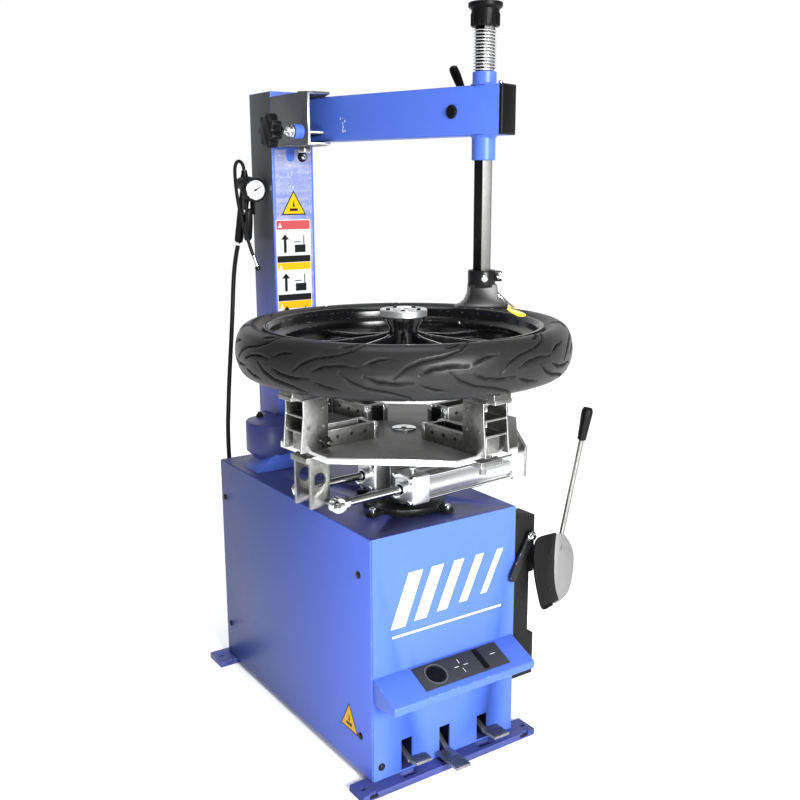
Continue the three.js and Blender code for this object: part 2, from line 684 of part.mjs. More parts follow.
const latchPivot = { x: 241, z: 489 };
const latchLever = () => {
  const tip = { x: 184, z: 392 };
  const length = Math.hypot(tip.x - latchPivot.x, tip.z - latchPivot.z);
  const strap = join(
    block(0, length - 8, -11, 11, -4, 4),
    prism('z', [[length - 10, -11], [length + 4, -4], [length + 4, 9], [length - 10, 11]], -4, 4),
    bar('z', 13, -4, 4, [0, 0], 20),
  );
  const lean = Math.atan2(tip.z - latchPivot.z, tip.x - latchPivot.x);
  strap.rotateX(Math.PI / 2).rotateY(-lean).translate(latchPivot.x, -9, latchPivot.z);
  const bolt = bar('y', 9, -20, gap, [latchPivot.x, latchPivot.z], 6);
  return join(strap, bolt);
};
addPiece(machine, 'latch_lever', latchLever(), 'blackPaint');

// ---- Tyre inflator on the column's left face ----

const gunX = -100;
const gunBody = () => {
  const barrel = strut([gunX, 722, 1302], [gunX, 790, 1302], 17, 16);
  const nose = strut([gunX, 756, 1296], [gunX, 752, 1334], 11, 14);
  const handle = strut([gunX, 752, 1292], [gunX, 806, 1150], 14, 16, 12);
  const hanger = block(gunX, columnLeft - gap, 744, 764, 1292, 1312);
  const fork = [-1, 1].map((side) => block(gunX + side * 11 - 2, gunX + side * 11 + 2, 724, 748, 1222, 1296));
  return join(barrel, nose, handle, hanger, ...fork);
};
addPiece(machine, 'gun_body', gunBody(), 'blackPlastic');

const gaugeCase = bar('y', 31, 688, 722 - gap, [gunX, 1285], 20);
addPiece(machine, 'gauge_case', gaugeCase, 'blackRubber');

const triggerPivot = { y: 734, z: 1232 };
const gunTrigger = join(
  bar('x', 6, gunX - 8, gunX + 8, [triggerPivot.y, triggerPivot.z], 14),
  prism('x', [
    [730, 1200], [738, 1160], [748, 1154], [758, 1162], [744, 1204], [740, 1236], [728, 1236],
  ], gunX - 8, gunX + 8),
);
addPiece(machine, 'gun_trigger', gunTrigger, 'blackPlastic');

const airFitting = join(
  bar('y', 12, cabinetDepth + gap, 796, [-152, 404], 16),
  bar('z', 10, 404, 432, [-152, 796], 16),
  bar('z', 13, 396, 410, [-152, 796], 6),
);
addPiece(machine, 'air_fitting', airFitting, 'zincSteel');

// The box of everything above settles the origin: floor level, middle of the footprint
machine.updateMatrixWorld(true);
const extent = new THREE.Box3().setFromObject(machine, true);
const middle = extent.getCenter(new THREE.Vector3());

// ---- Air hoses: plain tubes along hand-chosen routes ----

const hose = (points, radius, steps, sides) => {
  const route = new THREE.CatmullRomCurve3(points.map((point) => new THREE.Vector3(...point)));
  const section = new THREE.Shape();
  section.absarc(0, 0, radius, 0, 2 * Math.PI);
  return new THREE.ExtrudeGeometry(section, {
    steps,
    curveSegments: sides / 2,
    bevelEnabled: false,
    extrudePath: route,
  });
};

const supplyRoute = [
  [-100, 811.5, 1140], [-101, 821, 1118], [-104, 830, 1080], [-108, 833, 1035], [-113, 831, 985],
  [-119, 828, 930], [-125, 826, 875], [-131, 825, 820], [-137, 824, 760], [-142, 823, 700], [-147, 821, 640],
  [-150, 816, 580], [-152, 808, 520], [-152.5, 800, 475], [-152, 796, 445], [-152, 796, 432.5],
];
addPiece(machine, 'supply_hose', hose(supplyRoute, 6, 28, 10), 'blackRubber');

const whipRoute = [
  [-101, 755, 1336], [-103, 755, 1346], [-108, 754, 1354], [-116, 752, 1358], [-125, 748, 1354],
  [-132, 743, 1340], [-136, 735, 1312], [-138, 724, 1272], [-137, 711, 1230], [-133, 699, 1190],
  [-126, 689, 1152], [-119, 681, 1120],
];
addPiece(machine, 'whip_hose', hose(whipRoute, 4.5, 18, 8), 'blackRubber');
addPiece(machine, 'air_chuck', strut([-118.8, 680.8, 1119.4], [-110, 671, 1081], 7, 12, 8), 'chrome');

machine.position.set(-middle.x, -middle.y, footHeight);

export default machine;
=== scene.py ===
import random
from math import atan2, cos, dist, hypot, pi, radians, sin, sqrt
import bmesh
import bpy
import numpy as np
from mathutils import Matrix, Vector


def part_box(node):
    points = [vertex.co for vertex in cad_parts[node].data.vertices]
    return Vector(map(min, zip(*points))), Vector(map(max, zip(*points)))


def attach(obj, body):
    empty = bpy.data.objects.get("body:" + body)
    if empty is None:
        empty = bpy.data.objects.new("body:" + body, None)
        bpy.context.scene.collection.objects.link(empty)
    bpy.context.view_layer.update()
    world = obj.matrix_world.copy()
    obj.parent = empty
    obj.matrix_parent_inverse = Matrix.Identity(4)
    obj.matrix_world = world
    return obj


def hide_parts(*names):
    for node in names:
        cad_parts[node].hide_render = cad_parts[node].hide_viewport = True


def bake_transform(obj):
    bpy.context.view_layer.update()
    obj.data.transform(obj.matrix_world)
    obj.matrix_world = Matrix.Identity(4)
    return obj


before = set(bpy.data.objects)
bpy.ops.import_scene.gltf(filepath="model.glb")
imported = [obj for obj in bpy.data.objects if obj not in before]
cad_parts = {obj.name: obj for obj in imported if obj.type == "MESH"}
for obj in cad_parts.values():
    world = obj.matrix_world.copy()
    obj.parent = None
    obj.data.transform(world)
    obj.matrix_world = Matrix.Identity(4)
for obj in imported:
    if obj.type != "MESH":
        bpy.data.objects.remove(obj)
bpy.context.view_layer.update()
print("frame loaded")

# Places: every shape is drawn in millimetres in one of these frames

milli = 0.001
layout = {"halfWidth": 200, "table": (0, 167, 748), "tableTurn": 5, "pivot": (-5, 600), "post": (156, 84)}


def move(x, y, z):
    return Matrix.Translation((x, y, z))


def turnBy(angle, axis="Z"):
    return Matrix.Rotation(radians(angle), 4, axis)


def bearing(start, end):  # the turn about Z that points X from start to end
    return Matrix.Rotation(atan2(end[1] - start[1], end[0] - start[0]), 4, "Z")


def placed(name, data):
    thing = bpy.data.objects.new(name, data)
    bpy.context.scene.collection.objects.link(thing)
    return thing


shellLow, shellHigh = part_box("cabinet_shell")
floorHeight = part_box("front_foot")[0].z
frontMiddle = shellHigh.x - layout["halfWidth"] * milli
frontEdge = Vector((frontMiddle, shellLow.y, shellLow.z))
pivotSpot, postSpot = layout["pivot"], layout["post"]
armLength = hypot(postSpot[0] - pivotSpot[0], postSpot[1] - pivotSpot[1])
machinePlace = Matrix.Translation(frontEdge) @ Matrix.Scale(milli, 4)
tablePlace = machinePlace @ move(*layout["table"]) @ turnBy(layout["tableTurn"])
armPlace = machinePlace @ move(*pivotSpot, 0) @ bearing(pivotSpot, postSpot)
postPlace = armPlace @ move(armLength, 0, 0)
headPlace = machinePlace @ move(*postSpot, 0) @ bearing(layout["table"], postSpot)

# Camera

view = {"place": (-1230, -1633, 1293.5), "ahead": (0.5479, 0.8087, -0.2144), "roll": -0.19, "lens": 43.85}
cameraData = bpy.data.cameras.new("camera")
cameraData.lens = view["lens"]
cameraData.sensor_width = 36
cameraData.clip_end = 60
camera = placed("camera", cameraData)
camera.location = machinePlace @ Vector(view["place"])
camera.rotation_mode = "QUATERNION"
rolled = Matrix.Rotation(radians(view["roll"]), 3, "Z").to_quaternion()
camera.rotation_quaternion = Vector(view["ahead"]).to_track_quat("-Z", "Y") @ rolled
bpy.context.scene.camera = camera


# Shader maths

def addNode(tree, kind, settings=None, sockets=None):  # a node with its settings, values and links
    made = tree.nodes.new(kind)
    for key, value in (settings or {}).items():
        setattr(made, key, value)
    for key, value in (sockets or {}).items():
        link = getattr(value, "link", value)
        if isinstance(link, bpy.types.NodeSocket):
            tree.links.new(link, made.inputs[key])
        else:
            made.inputs[key].default_value = value
    return made


class Wire:  # a socket that adds Math nodes when an expression uses it
    def __init__(self, look, link):
        self.look = look
        self.link = link

    def maths(self, operation, first, second):
        return self.look.node("Math", {"operation": operation}, {0: first, 1: second})

    def __add__(self, other):
        return self.maths("ADD", self, other)

    def __radd__(self, other):
        return self.maths("ADD", other, self)

    def __sub__(self, other):
        return self.maths("SUBTRACT", self, other)

    def __mul__(self, other):
        return self.maths("MULTIPLY", self, other)

    def __rmul__(self, other):
        return self.maths("MULTIPLY", other, self)

    def span(self, low, high):  # 0 below low, 1 above high, smooth between
        settings = {"interpolation_type": "SMOOTHSTEP"}
        return self.look.node("MapRange", settings, {0: self, 1: low, 2: high})


class Look:  # one procedural material
    def __init__(self, name, constants):
        self.material = bpy.data.materials.new(name)
        self.material.use_nodes = True
        self.tree = self.material.node_tree
        self.shader = self.tree.nodes["Principled BSDF"]
        for socketName, value in constants.items():
            self.shader.inputs[socketName].default_value = value

    def node(self, kind, settings=None, sockets=None, output=0):
        made = addNode(self.tree, "ShaderNode" + kind, settings, sockets)
        return Wire(self, made.outputs[output])

    def place(self, stretch=(1, 1, 1)):
        coordinates = self.node("TexCoord", output=3)
        return self.node("Mapping", None, {"Vector": coordinates, "Scale": stretch})

    def noise(self, scale, detail=3, roughness=0.5, stretch=(1, 1, 1)):
        sockets = {"Vector": self.place(stretch), "Scale": scale, "Detail": detail, "Roughness": roughness}
        return self.node("TexNoise", None, sockets)

    def cells(self, scale):  # a random tone for each cell
        colour = self.node("TexVoronoi", None, {"Vector": self.place(), "Scale": scale}, 1)
        return self.node("SeparateColor", None, {0: colour})

    def mark(self, name):  # a value painted on the mesh
        return self.node("Attribute", {"attribute_name": name}, None, 2)

    def blend(self, share, first, second):
        settings = {"data_type": "RGBA"}
        return self.node("Mix", settings, {0: share, 6: opaque(first), 7: opaque(second)}, 2)

    def bump(self, height, strength, distance):
        sockets = {"Height": height, "Strength": strength, "Distance": distance}
        return self.node("Bump", None, sockets)

    def feed(self, socketName, value):
        self.tree.links.new(value.link, self.shader.inputs[socketName])


def opaque(colour):
    return colour if isinstance(colour, Wire) else (*colour, 1)


# Looks

def grey(level):
    return (level, level, level)


def paintLook(paint):
    look = Look(paint["name"], {"Specular IOR Level": paint["gloss"]})
    slow = look.noise(3.2, 2).span(0.3, 0.7)
    peel = look.noise(520, 2)
    dust = look.noise(26, 5, 0.62).span(0.5, 0.82)
    # chips on the rounded edges: part real chipping, part a painted highlight along the edges
    chips = look.mark("edgeWearAndHighlight") * look.noise(95, 4, 0.7).span(0.56, 0.64)
    body = look.blend(slow, paint["colour"], paint["shade"])
    other = paint.get("other")
    if other:  # painted light: a second tone further along one axis, a painted falloff of light and shade
        along = look.node("SeparateXYZ", None, {0: look.place()}, other["axis"])
        body = look.blend(along.span(*other["from"]), other["colour"], body)
    dusty = look.blend(dust * paint["dust"], body, paint["dustColour"])
    look.feed("Base Color", look.blend(chips * paint["chip"], dusty, paint["bare"]))
    look.feed("Roughness", paint["rough"] + 0.10 * dust + 0.05 * peel)
    look.feed("Normal", look.bump(peel, 0.06, 0.0004))
    return look.material


def metalLook(metal):
    look = Look(metal["name"], {"Metallic": 1.0})
    cells = look.cells(metal["cell"])
    drawn = look.noise(300, 4, 0.6, metal["grain"])
    stain = look.noise(18, 5, 0.6).span(0.45, 0.75)
    scratch = look.noise(70, 2, 0.5, (14, 1, 1)).span(0.64, 0.7)
    tone = look.blend(cells * metal["spangle"] + drawn * 0.4, metal["colour"], metal["shade"])
    marked = look.blend(stain * metal["stain"], tone, metal["stainColour"])
    # painted highlight: every rounded edge face is lightened towards the bright colour, along with real
    # scratches
    brightened = scratch * 0.12 + look.mark("edgeWearAndHighlight") * metal["edge"]
    look.feed("Base Color", look.blend(brightened, marked, metal["bright"]))
    look.feed("Roughness", metal["rough"] + 0.12 * drawn + 0.14 * stain * metal["stain"])
    look.feed("Normal", look.bump(drawn, metal["bump"], 0.0004))
    return look.material


def plasticLook(plastic):
    look = Look(plastic["name"], {"Specular IOR Level": plastic["gloss"]})
    grain = look.noise(plastic["grain"], 2, 0.6)
    dust = look.noise(30, 5, 0.65).span(0.48, 0.8)
    colour = look.blend(dust * plastic["dust"], plastic["colour"], plastic["dustColour"])
    # rounded edges lightened: part rubbing, part a painted highlight
    brightened = look.blend(look.mark("edgeWearAndHighlight") * plastic["rubAndHighlight"], colour, plastic["rubAndHighlightColour"])
    # painted shade: the tyre grooves are darkened to near black and made rougher
    look.feed("Base Color", look.blend(look.mark("groove"), brightened, grey(0.0012)))
    look.feed("Roughness", plastic["rough"] + 0.12 * dust - 0.08 * grain + 0.5 * look.mark("groove"))
    look.feed("Normal", look.bump(grain, plastic["bump"], 0.0005))
    return look.material


blue = {
    "name": "bluePaint", "colour": (0.052, 0.108, 0.44), "shade": (0.047, 0.098, 0.41), "gloss": 0.24,
    "rough": 0.34, "dust": 0.08, "dustColour": (0.13, 0.19, 0.50), "chip": 0.35, "bare": (0.26, 0.34, 0.62),
}
paints = {
    "blue": blue,
    # painted shade: a darker copy of the blue paint for the cabinet top, feet and column drum
    "navy": dict(
        blue, name="shadedBluePaint", colour=(0.040, 0.050, 0.20), shade=(0.030, 0.038, 0.14),
        dustColour=(0.10, 0.12, 0.24), chip=0.2, bare=(0.16, 0.18, 0.34),
    ),
    # painted shade: the side cover is darker than the blue paint and lightens towards the front, a painted
    # falloff of the front light
    "cover": dict(
        blue, name="shadedCoverPaint", colour=(0.030, 0.050, 0.20), shade=(0.027, 0.045, 0.18), gloss=0.12,
        other={"axis": 1, "from": (-0.34, 0.42), "colour": (0.060, 0.105, 0.44)},
    ),
    # painted shade: the column's left face is dark grey up high and blue low down
    "slate": dict(
        blue, name="shadedSidePaint", colour=(0.056, 0.058, 0.064), shade=(0.040, 0.042, 0.050),
        dustColour=(0.10, 0.10, 0.12), chip=0.2, bare=(0.16, 0.18, 0.34),
        other={"axis": 2, "from": (0.92, 1.22), "colour": (0.058, 0.075, 0.30)},
    ),
    "black": {
        "name": "blackPaint", "colour": (0.0060, 0.0060, 0.0065), "shade": (0.0040, 0.0040, 0.0045),
        "gloss": 0.22, "rough": 0.30, "dust": 0.12, "dustColour": grey(0.030), "chip": 0.7,
        "bare": (0.26, 0.26, 0.27),
    },
    "bracket": {
        "name": "bracketPaint", "colour": (0.048, 0.053, 0.068), "shade": (0.034, 0.038, 0.050),
        "gloss": 0.3, "rough": 0.36, "dust": 0.12, "dustColour": (0.10, 0.11, 0.13), "chip": 0.9,
        "bare": (0.62, 0.64, 0.68),
    },
    "lacquer": {
        "name": "rimLacquer", "colour": (0.0030, 0.0030, 0.0034), "shade": (0.0024, 0.0024, 0.0028),
        "gloss": 0.20, "rough": 0.13, "dust": 0.05, "dustColour": grey(0.02), "chip": 0.25,
        "bare": (0.20, 0.20, 0.21),
    },
}
zinc = {
    "name": "zincSteel", "colour": (0.15, 0.15, 0.146), "shade": (0.28, 0.28, 0.275), "edge": 0.8,
    "bright": (0.90, 0.91, 0.91), "stain": 0.5, "stainColour": (0.10, 0.10, 0.09), "cell": 130,
    "spangle": 0.55, "grain": (1, 1, 1), "rough": 0.27, "bump": 0.10,
}
satin = dict(
    zinc, name="satinSteel", colour=(0.115, 0.115, 0.112), shade=(0.18, 0.18, 0.176), cell=60, spangle=0.2,
    grain=(1, 9, 1), rough=0.46, stain=0.25, edge=0.2,
)
metals = {
    "zinc": zinc,
    "satin": satin,
    "blade": dict(
        satin, name="bladeSteel", colour=grey(0.24), shade=grey(0.30), stain=0.1, stainColour=grey(0.24),
    ),
    "alloy": dict(
        zinc, name="castAluminium", colour=(0.68, 0.69, 0.70), shade=(0.86, 0.87, 0.88), cell=400,
        stainColour=grey(0.30), spangle=0.25, rough=0.30, bump=0.2,
    ),
    "bright": dict(
        zinc, name="brightSteel", colour=(0.70, 0.71, 0.72), shade=(0.82, 0.83, 0.84), spangle=0.1,
        stain=0.15, rough=0.07, bump=0.03,
    ),
    "worn": dict(
        zinc, name="wornSteel", colour=grey(0.19), shade=grey(0.33), stain=0.6, cell=70, rough=0.40, bump=0.5,
        stainColour=(0.05, 0.05, 0.045), edge=0.5,
    ),
    "darkMetal": dict(
        zinc, name="darkSteel", colour=(0.012, 0.012, 0.013), shade=(0.026, 0.026, 0.027), bright=grey(0.2),
        stain=0.3, stainColour=grey(0.008), rough=0.24, spangle=0.2, edge=0.3,
    ),
}
plastic = {
    "name": "blackPlastic", "colour": (0.0028, 0.0028, 0.0031), "grain": 1400, "bump": 0.25, "rough": 0.42,
    "gloss": 0.09, "dust": 0.10, "dustColour": grey(0.012), "rubAndHighlight": 0.30, "rubAndHighlightColour": (0.020, 0.020, 0.022),
}
white = dict(
    plastic, name="whiteVinyl", colour=(0.46, 0.47, 0.48), dustColour=(0.36, 0.37, 0.40),
    rubAndHighlightColour=grey(0.6), rough=0.4, bump=0.05,
)
plastics = {
    "plastic": plastic,
    "grey": dict(
        plastic, name="greyPlastic", colour=(0.026, 0.028, 0.033), dustColour=(0.06, 0.064, 0.072),
        rough=0.46,
    ),
    "yellow": dict(
        plastic, name="yellowPlastic", colour=(0.72, 0.50, 0.012), dustColour=(0.5, 0.36, 0.06),
        rubAndHighlightColour=(0.8, 0.62, 0.1), gloss=0.5,
    ),
    "rubber": dict(
        plastic, name="blackRubber", colour=(0.0065, 0.0065, 0.0068), rough=0.5, grain=700, bump=0.4,
    ),
    "tyre": dict(
        plastic, name="tyreRubber", colour=(0.0115, 0.0115, 0.0119), rough=0.36, grain=900, bump=0.3,
        dust=0.3, gloss=0.13, dustColour=grey(0.022), rubAndHighlight=0.3, rubAndHighlightColour=grey(0.05),
    ),
    "white": white,
    "red": dict(
        white, name="redVinyl", colour=(0.34, 0.055, 0.06), dustColour=(0.30, 0.10, 0.10),
        rubAndHighlightColour=(0.7, 0.2, 0.2),
    ),
    "amber": dict(
        white, name="amberVinyl", colour=(0.52, 0.29, 0.004), dustColour=(0.44, 0.27, 0.03),
        rubAndHighlightColour=(0.7, 0.5, 0.1),
    ),
    # black print, also used as dark sheets that stand for painted shade inside holes and slots
    "ink": dict(
        white, name="inkAndHoleShadeVinyl", colour=(0.007, 0.007, 0.008), dustColour=grey(0.02), rubAndHighlightColour=grey(0.05),
    ),
}


def filmLook():  # clear protective film over the paint, wrinkled and full of small bubbles
    look = Look("clearFilm", {"Coat Weight": 0.25, "Coat Roughness": 0.12})
    haze = look.noise(9, 4, 0.6).span(0.3, 0.75)
    bubbles = look.noise(170, 3, 0.6).span(0.60, 0.68)
    streak = look.noise(30, 4, 0.6, (0.25, 1, 2.2))
    pale = streak.span(0.35, 0.7) * 0.7 + haze * 0.3
    base = look.blend(pale, (0.115, 0.145, 0.33), (0.24, 0.255, 0.37))
    look.feed("Base Color", look.blend(bubbles * 0.6, base, (0.42, 0.44, 0.50)))
    look.feed("Roughness", 0.20 + 0.18 * haze)
    look.feed("Normal", look.bump(streak + bubbles * 0.5, 0.35, 0.0012))
    return look.material


looks = {}
for makeLook, finishes in ((paintLook, paints), (metalLook, metals), (plasticLook, plastics)):
    for finish, values in finishes.items():
        looks[finish] = makeLook(values)
looks["film"] = filmLook()
print("looks made")


# Mesh tools

def softened(part, edge, steps=2, angle=30):  # rounds the sharp edges and marks the new faces for edge wear and a painted highlight
    edgeWearAndHighlight = part.faces.layers.float.get("edgeWearAndHighlight") or part.faces.layers.float.new("edgeWearAndHighlight")
    limit = radians(angle)
    sharp = [e for e in part.edges if len(e.link_faces) == 2 and e.calc_face_angle(0) > limit]
    if edge > 0 and sharp:
        made = bmesh.ops.bevel(
            part, geom=sharp, offset=edge, offset_type="OFFSET", segments=steps, profile=0.5,
            affect="EDGES", clamp_overlap=True,
        )
        for face in made["faces"]:
            face[edgeWearAndHighlight] = 1
    return part


def polygon(radius, sides):
    return [(radius * cos(a), radius * sin(a)) for a in (2 * pi * i / sides for i in range(sides))]


def alongLine(start, end):  # stands Z on the line from start to end
    lean = Vector((0, 0, 1)).rotation_difference(end - start).to_matrix().to_4x4()
    return Matrix.Translation(start) @ lean


def pathThrough(points, steps):  # a smooth path through the points
    spots = [Vector(point) for point in points]
    ends = [2 * spots[0] - spots[1], *spots, 2 * spots[-1] - spots[-2]]
    path = []
    for a, b, c, d in zip(ends, ends[1:], ends[2:], ends[3:]):
        for step in range(steps):
            t = step / steps
            bend = (2 * a - 5 * b + 4 * c - d) * t * t + (3 * b - a - 3 * c + d) * t ** 3
            path.append(0.5 * (2 * b + (c - a) * t + bend))
    path.append(spots[-1])
    return path


class Build:  # a piece under construction
    def __init__(self, place):
        self.place = place
        self.whole = bmesh.new()
        self.finishes = []

    def take(self, part, finish, turn=None):
        if turn is not None:
            part.transform(turn)
        if finish not in self.finishes:
            self.finishes.append(finish)
        bmesh.ops.recalc_face_normals(part, faces=part.faces)
        for face in part.faces:
            face.material_index = self.finishes.index(finish)
        holder = bpy.data.meshes.new("holder")
        part.to_mesh(holder)
        part.free()
        self.whole.from_mesh(holder)
        bpy.data.meshes.remove(holder)
        return self

    def block(self, x, y, z, finish, edge=1.0, turn=None, steps=2):
        part = bmesh.new()
        bmesh.ops.create_cube(part, size=1)
        size = [high - low for low, high in (x, y, z)]
        middle = [(high + low) / 2 for low, high in (x, y, z)]
        part.transform(Matrix.Translation(middle) @ Matrix.Diagonal((*size, 1)))
        return self.take(softened(part, edge, steps), finish, turn)

    def plate(self, axis, outline, low, high, finish, edge=0.8, turn=None, angle=30):
        part = bmesh.new()
        place = {
            "x": lambda u, v, w: (w, u, v),
            "y": lambda u, v, w: (u, w, v),
            "z": lambda u, v, w: (u, v, w),
        }[axis]
        rings = [[part.verts.new(place(u, v, w)) for u, v in outline] for w in (low, high)]
        part.faces.new(rings[0])
        part.faces.new(list(reversed(rings[1])))
        for i in range(len(outline)):
            j = (i + 1) % len(outline)
            part.faces.new((rings[0][i], rings[1][i], rings[1][j], rings[0][j]))
        bmesh.ops.recalc_face_normals(part, faces=part.faces)
        return self.take(softened(part, edge, 2, angle), finish, turn)

    def turned(self, profile, finish, sides=48, turn=None, ring=False, edge=0):  # about Z
        part = bmesh.new()
        part.faces.layers.float.new("edgeWearAndHighlight")
        rings = []
        for radius, height in profile:
            if radius < 1e-6:
                rings.append([part.verts.new((0, 0, height))] * sides)
                continue
            rings.append([part.verts.new((x, y, height)) for x, y in polygon(radius, sides)])
        pairs = list(zip(rings, rings[1:]))
        if ring:
            pairs.append((rings[-1], rings[0]))
        for lower, upper in pairs:
            for i in range(sides):
                j = (i + 1) % sides
                corners = [lower[i], lower[j], upper[j], upper[i]]
                corners = [v for n, v in enumerate(corners) if v not in corners[:n]]
                if len(corners) > 2:
                    part.faces.new(corners)
        bmesh.ops.recalc_face_normals(part, faces=part.faces)
        return self.take(softened(part, edge), finish, turn)

    def rod(self, start, end, radius, finish, sides=28, endRadius=None, edge=0.6, turn=None):
        start, end = Vector(start), Vector(end)
        length = (end - start).length
        last = radius if endRadius is None else endRadius
        cut = min(edge, radius * 0.4, last * 0.4, length * 0.3)
        wall = [(radius, 0), (last, length)]
        if cut > 0:
            wall = [(radius - cut, 0), (radius, cut), (last, length - cut), (last - cut, length)]
        profile = [(0, 0), *wall, (0, length)]
        return self.turned(profile, finish, sides, (turn or Matrix()) @ alongLine(start, end))

    def hexRod(self, start, end, radius, finish, edge=0.8, turn=None):
        start, end = Vector(start), Vector(end)
        place = (turn or Matrix()) @ alongLine(start, end)
        return self.plate("z", polygon(radius, 6), 0, (end - start).length, finish, edge, place)

    def sweep(self, points, radii, finish, sides=12, steps=5, turn=None):
        path = pathThrough(points, steps)
        if not hasattr(radii, "__len__"):
            radii = [radii] * len(points)
        widths = [v.x for v in pathThrough([(r, 0, 0) for r in radii], steps)]
        part = bmesh.new()
        ahead = (path[1] - path[0]).normalized()
        side = ahead.orthogonal().normalized()
        rings = []
        for i, spot in enumerate(path):
            near = path[min(i + 1, len(path) - 1)] - path[max(i - 1, 0)]
            bend = ahead.rotation_difference(near.normalized())
            side = bend @ side
            ahead = near.normalized()
            across = ahead.cross(side)
            section = polygon(widths[i], sides)
            rings.append([part.verts.new(spot + side * u + across * v) for u, v in section])
        for lower, upper in zip(rings, rings[1:]):
            for k in range(sides):
                m = (k + 1) % sides
                part.faces.new((lower[k], lower[m], upper[m], upper[k]))
        part.faces.new(rings[0])
        part.faces.new(list(reversed(rings[-1])))
        part.faces.layers.float.new("edgeWearAndHighlight")
        return self.take(part, finish, turn)

    def node(self, name, finish, edge=1.0, steps=2, special=(), bends=()):  # a finished copy
        part = bmesh.new()
        part.from_mesh(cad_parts[name].data)
        part.transform(self.place.inverted())
        bmesh.ops.remove_doubles(part, verts=part.verts, dist=0.02)
        bmesh.ops.dissolve_limit(part, angle_limit=radians(1), verts=part.verts, edges=part.edges)
        for test, radius in bends:
            chosen = [e for e in part.edges if test(e)]
            bmesh.ops.bevel(
                part, geom=chosen, offset=radius, offset_type="OFFSET", segments=8, profile=0.5,
                affect="EDGES",
            )
        softened(part, edge, steps)
        bmesh.ops.recalc_face_normals(part, faces=part.faces)
        part.faces.index_update()
        groups = [[f.index for f in part.faces if test(f)] for test, _ in special]
        first = len(self.whole.faces)
        self.take(part, finish)
        self.whole.faces.ensure_lookup_table()
        for (_, other), group in zip(special, groups):
            self.finishes.append(other)
            for index in group:
                self.whole.faces[first + index].material_index = len(self.finishes) - 1
        return self

    def done(self, name, body, slot, nodes=(), angle=32):
        self.whole.transform(self.place)
        mesh = bpy.data.meshes.new(name)
        self.whole.to_mesh(mesh)
        self.whole.free()
        return settled(mesh, name, body, nodes, self.finishes, angle)


def settled(mesh, name, body, nodes=(), finishes=(), angle=32):
    for finish in finishes:
        mesh.materials.append(looks[finish])
    mesh.shade_smooth()
    mesh.set_sharp_from_angle(angle=radians(angle))
    thing = placed(name, mesh)
    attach(thing, body)
    if nodes:
        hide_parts(*nodes)
    return thing


# Air hoses

supplyHose = {
    "radius": 6,
    "points": [
        (-100, 811.5, 1140), (-101, 821, 1118), (-104, 830, 1080), (-108, 833, 1035), (-113, 831, 985),
        (-119, 828, 930), (-125, 826, 875), (-131, 825, 820), (-137, 824, 760), (-142, 823, 700),
        (-147, 821, 640), (-150, 816, 580), (-152, 808, 520), (-152.5, 800, 475), (-152, 796, 445),
        (-152, 796, 432.5),
    ],
}
whipHose = {
    "radius": 4.5,
    "points": [
        (-101, 755, 1336), (-103, 755, 1346), (-108, 754, 1354), (-116, 752, 1358), (-125, 748, 1354),
        (-132, 743, 1340), (-136, 735, 1312), (-138, 724, 1272), (-137, 711, 1230), (-133, 699, 1190),
        (-126, 689, 1152), (-119, 681, 1120),
    ],
}


def hoseCurve(name, hose, steps):
    path = [machinePlace @ point for point in pathThrough(hose["points"], steps)]
    data = bpy.data.curves.new(name, "CURVE")
    data.dimensions = "3D"
    data.bevel_depth = hose["radius"] * milli
    data.bevel_resolution = 4
    data.use_fill_caps = True
    spline = data.splines.new("POLY")
    spline.points.add(len(path) - 1)
    for point, spot in zip(spline.points, path):
        point.co = (*spot, 1)
    data.materials.append(looks["rubber"])
    thing = placed(name, data)
    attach(thing, "cabinet")
    length = sum((b - a).length for a, b in zip(path, path[1:]))
    return thing, path[0], length


airChuck = Build(machinePlace)
airChuck.rod((-118.8, 680.8, 1119.4), (-116.6, 678.4, 1109.8), 6.4, "bright", 24)
airChuck.rod((-116.6, 678.4, 1109.8), (-112, 673.2, 1089.7), 4.6, "bright", 24)
airChuck.rod((-112.4, 673.6, 1091.6), (-110, 671, 1081.2), 7.4, "darkMetal", 24, 6.4, 1.2)
airChuck = airChuck.done("airChuck", "cabinet", "bright_steel", ("air_chuck",))

hose, exitPoint, hoseLength = hoseCurve("supplyHose", supplyHose, 4)
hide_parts("supply_hose")
hose, exitPoint, hoseLength = hoseCurve("whipHose", whipHose, 4)
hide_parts("whip_hose")
print("hoses made")


# Geometry Nodes: what repeats

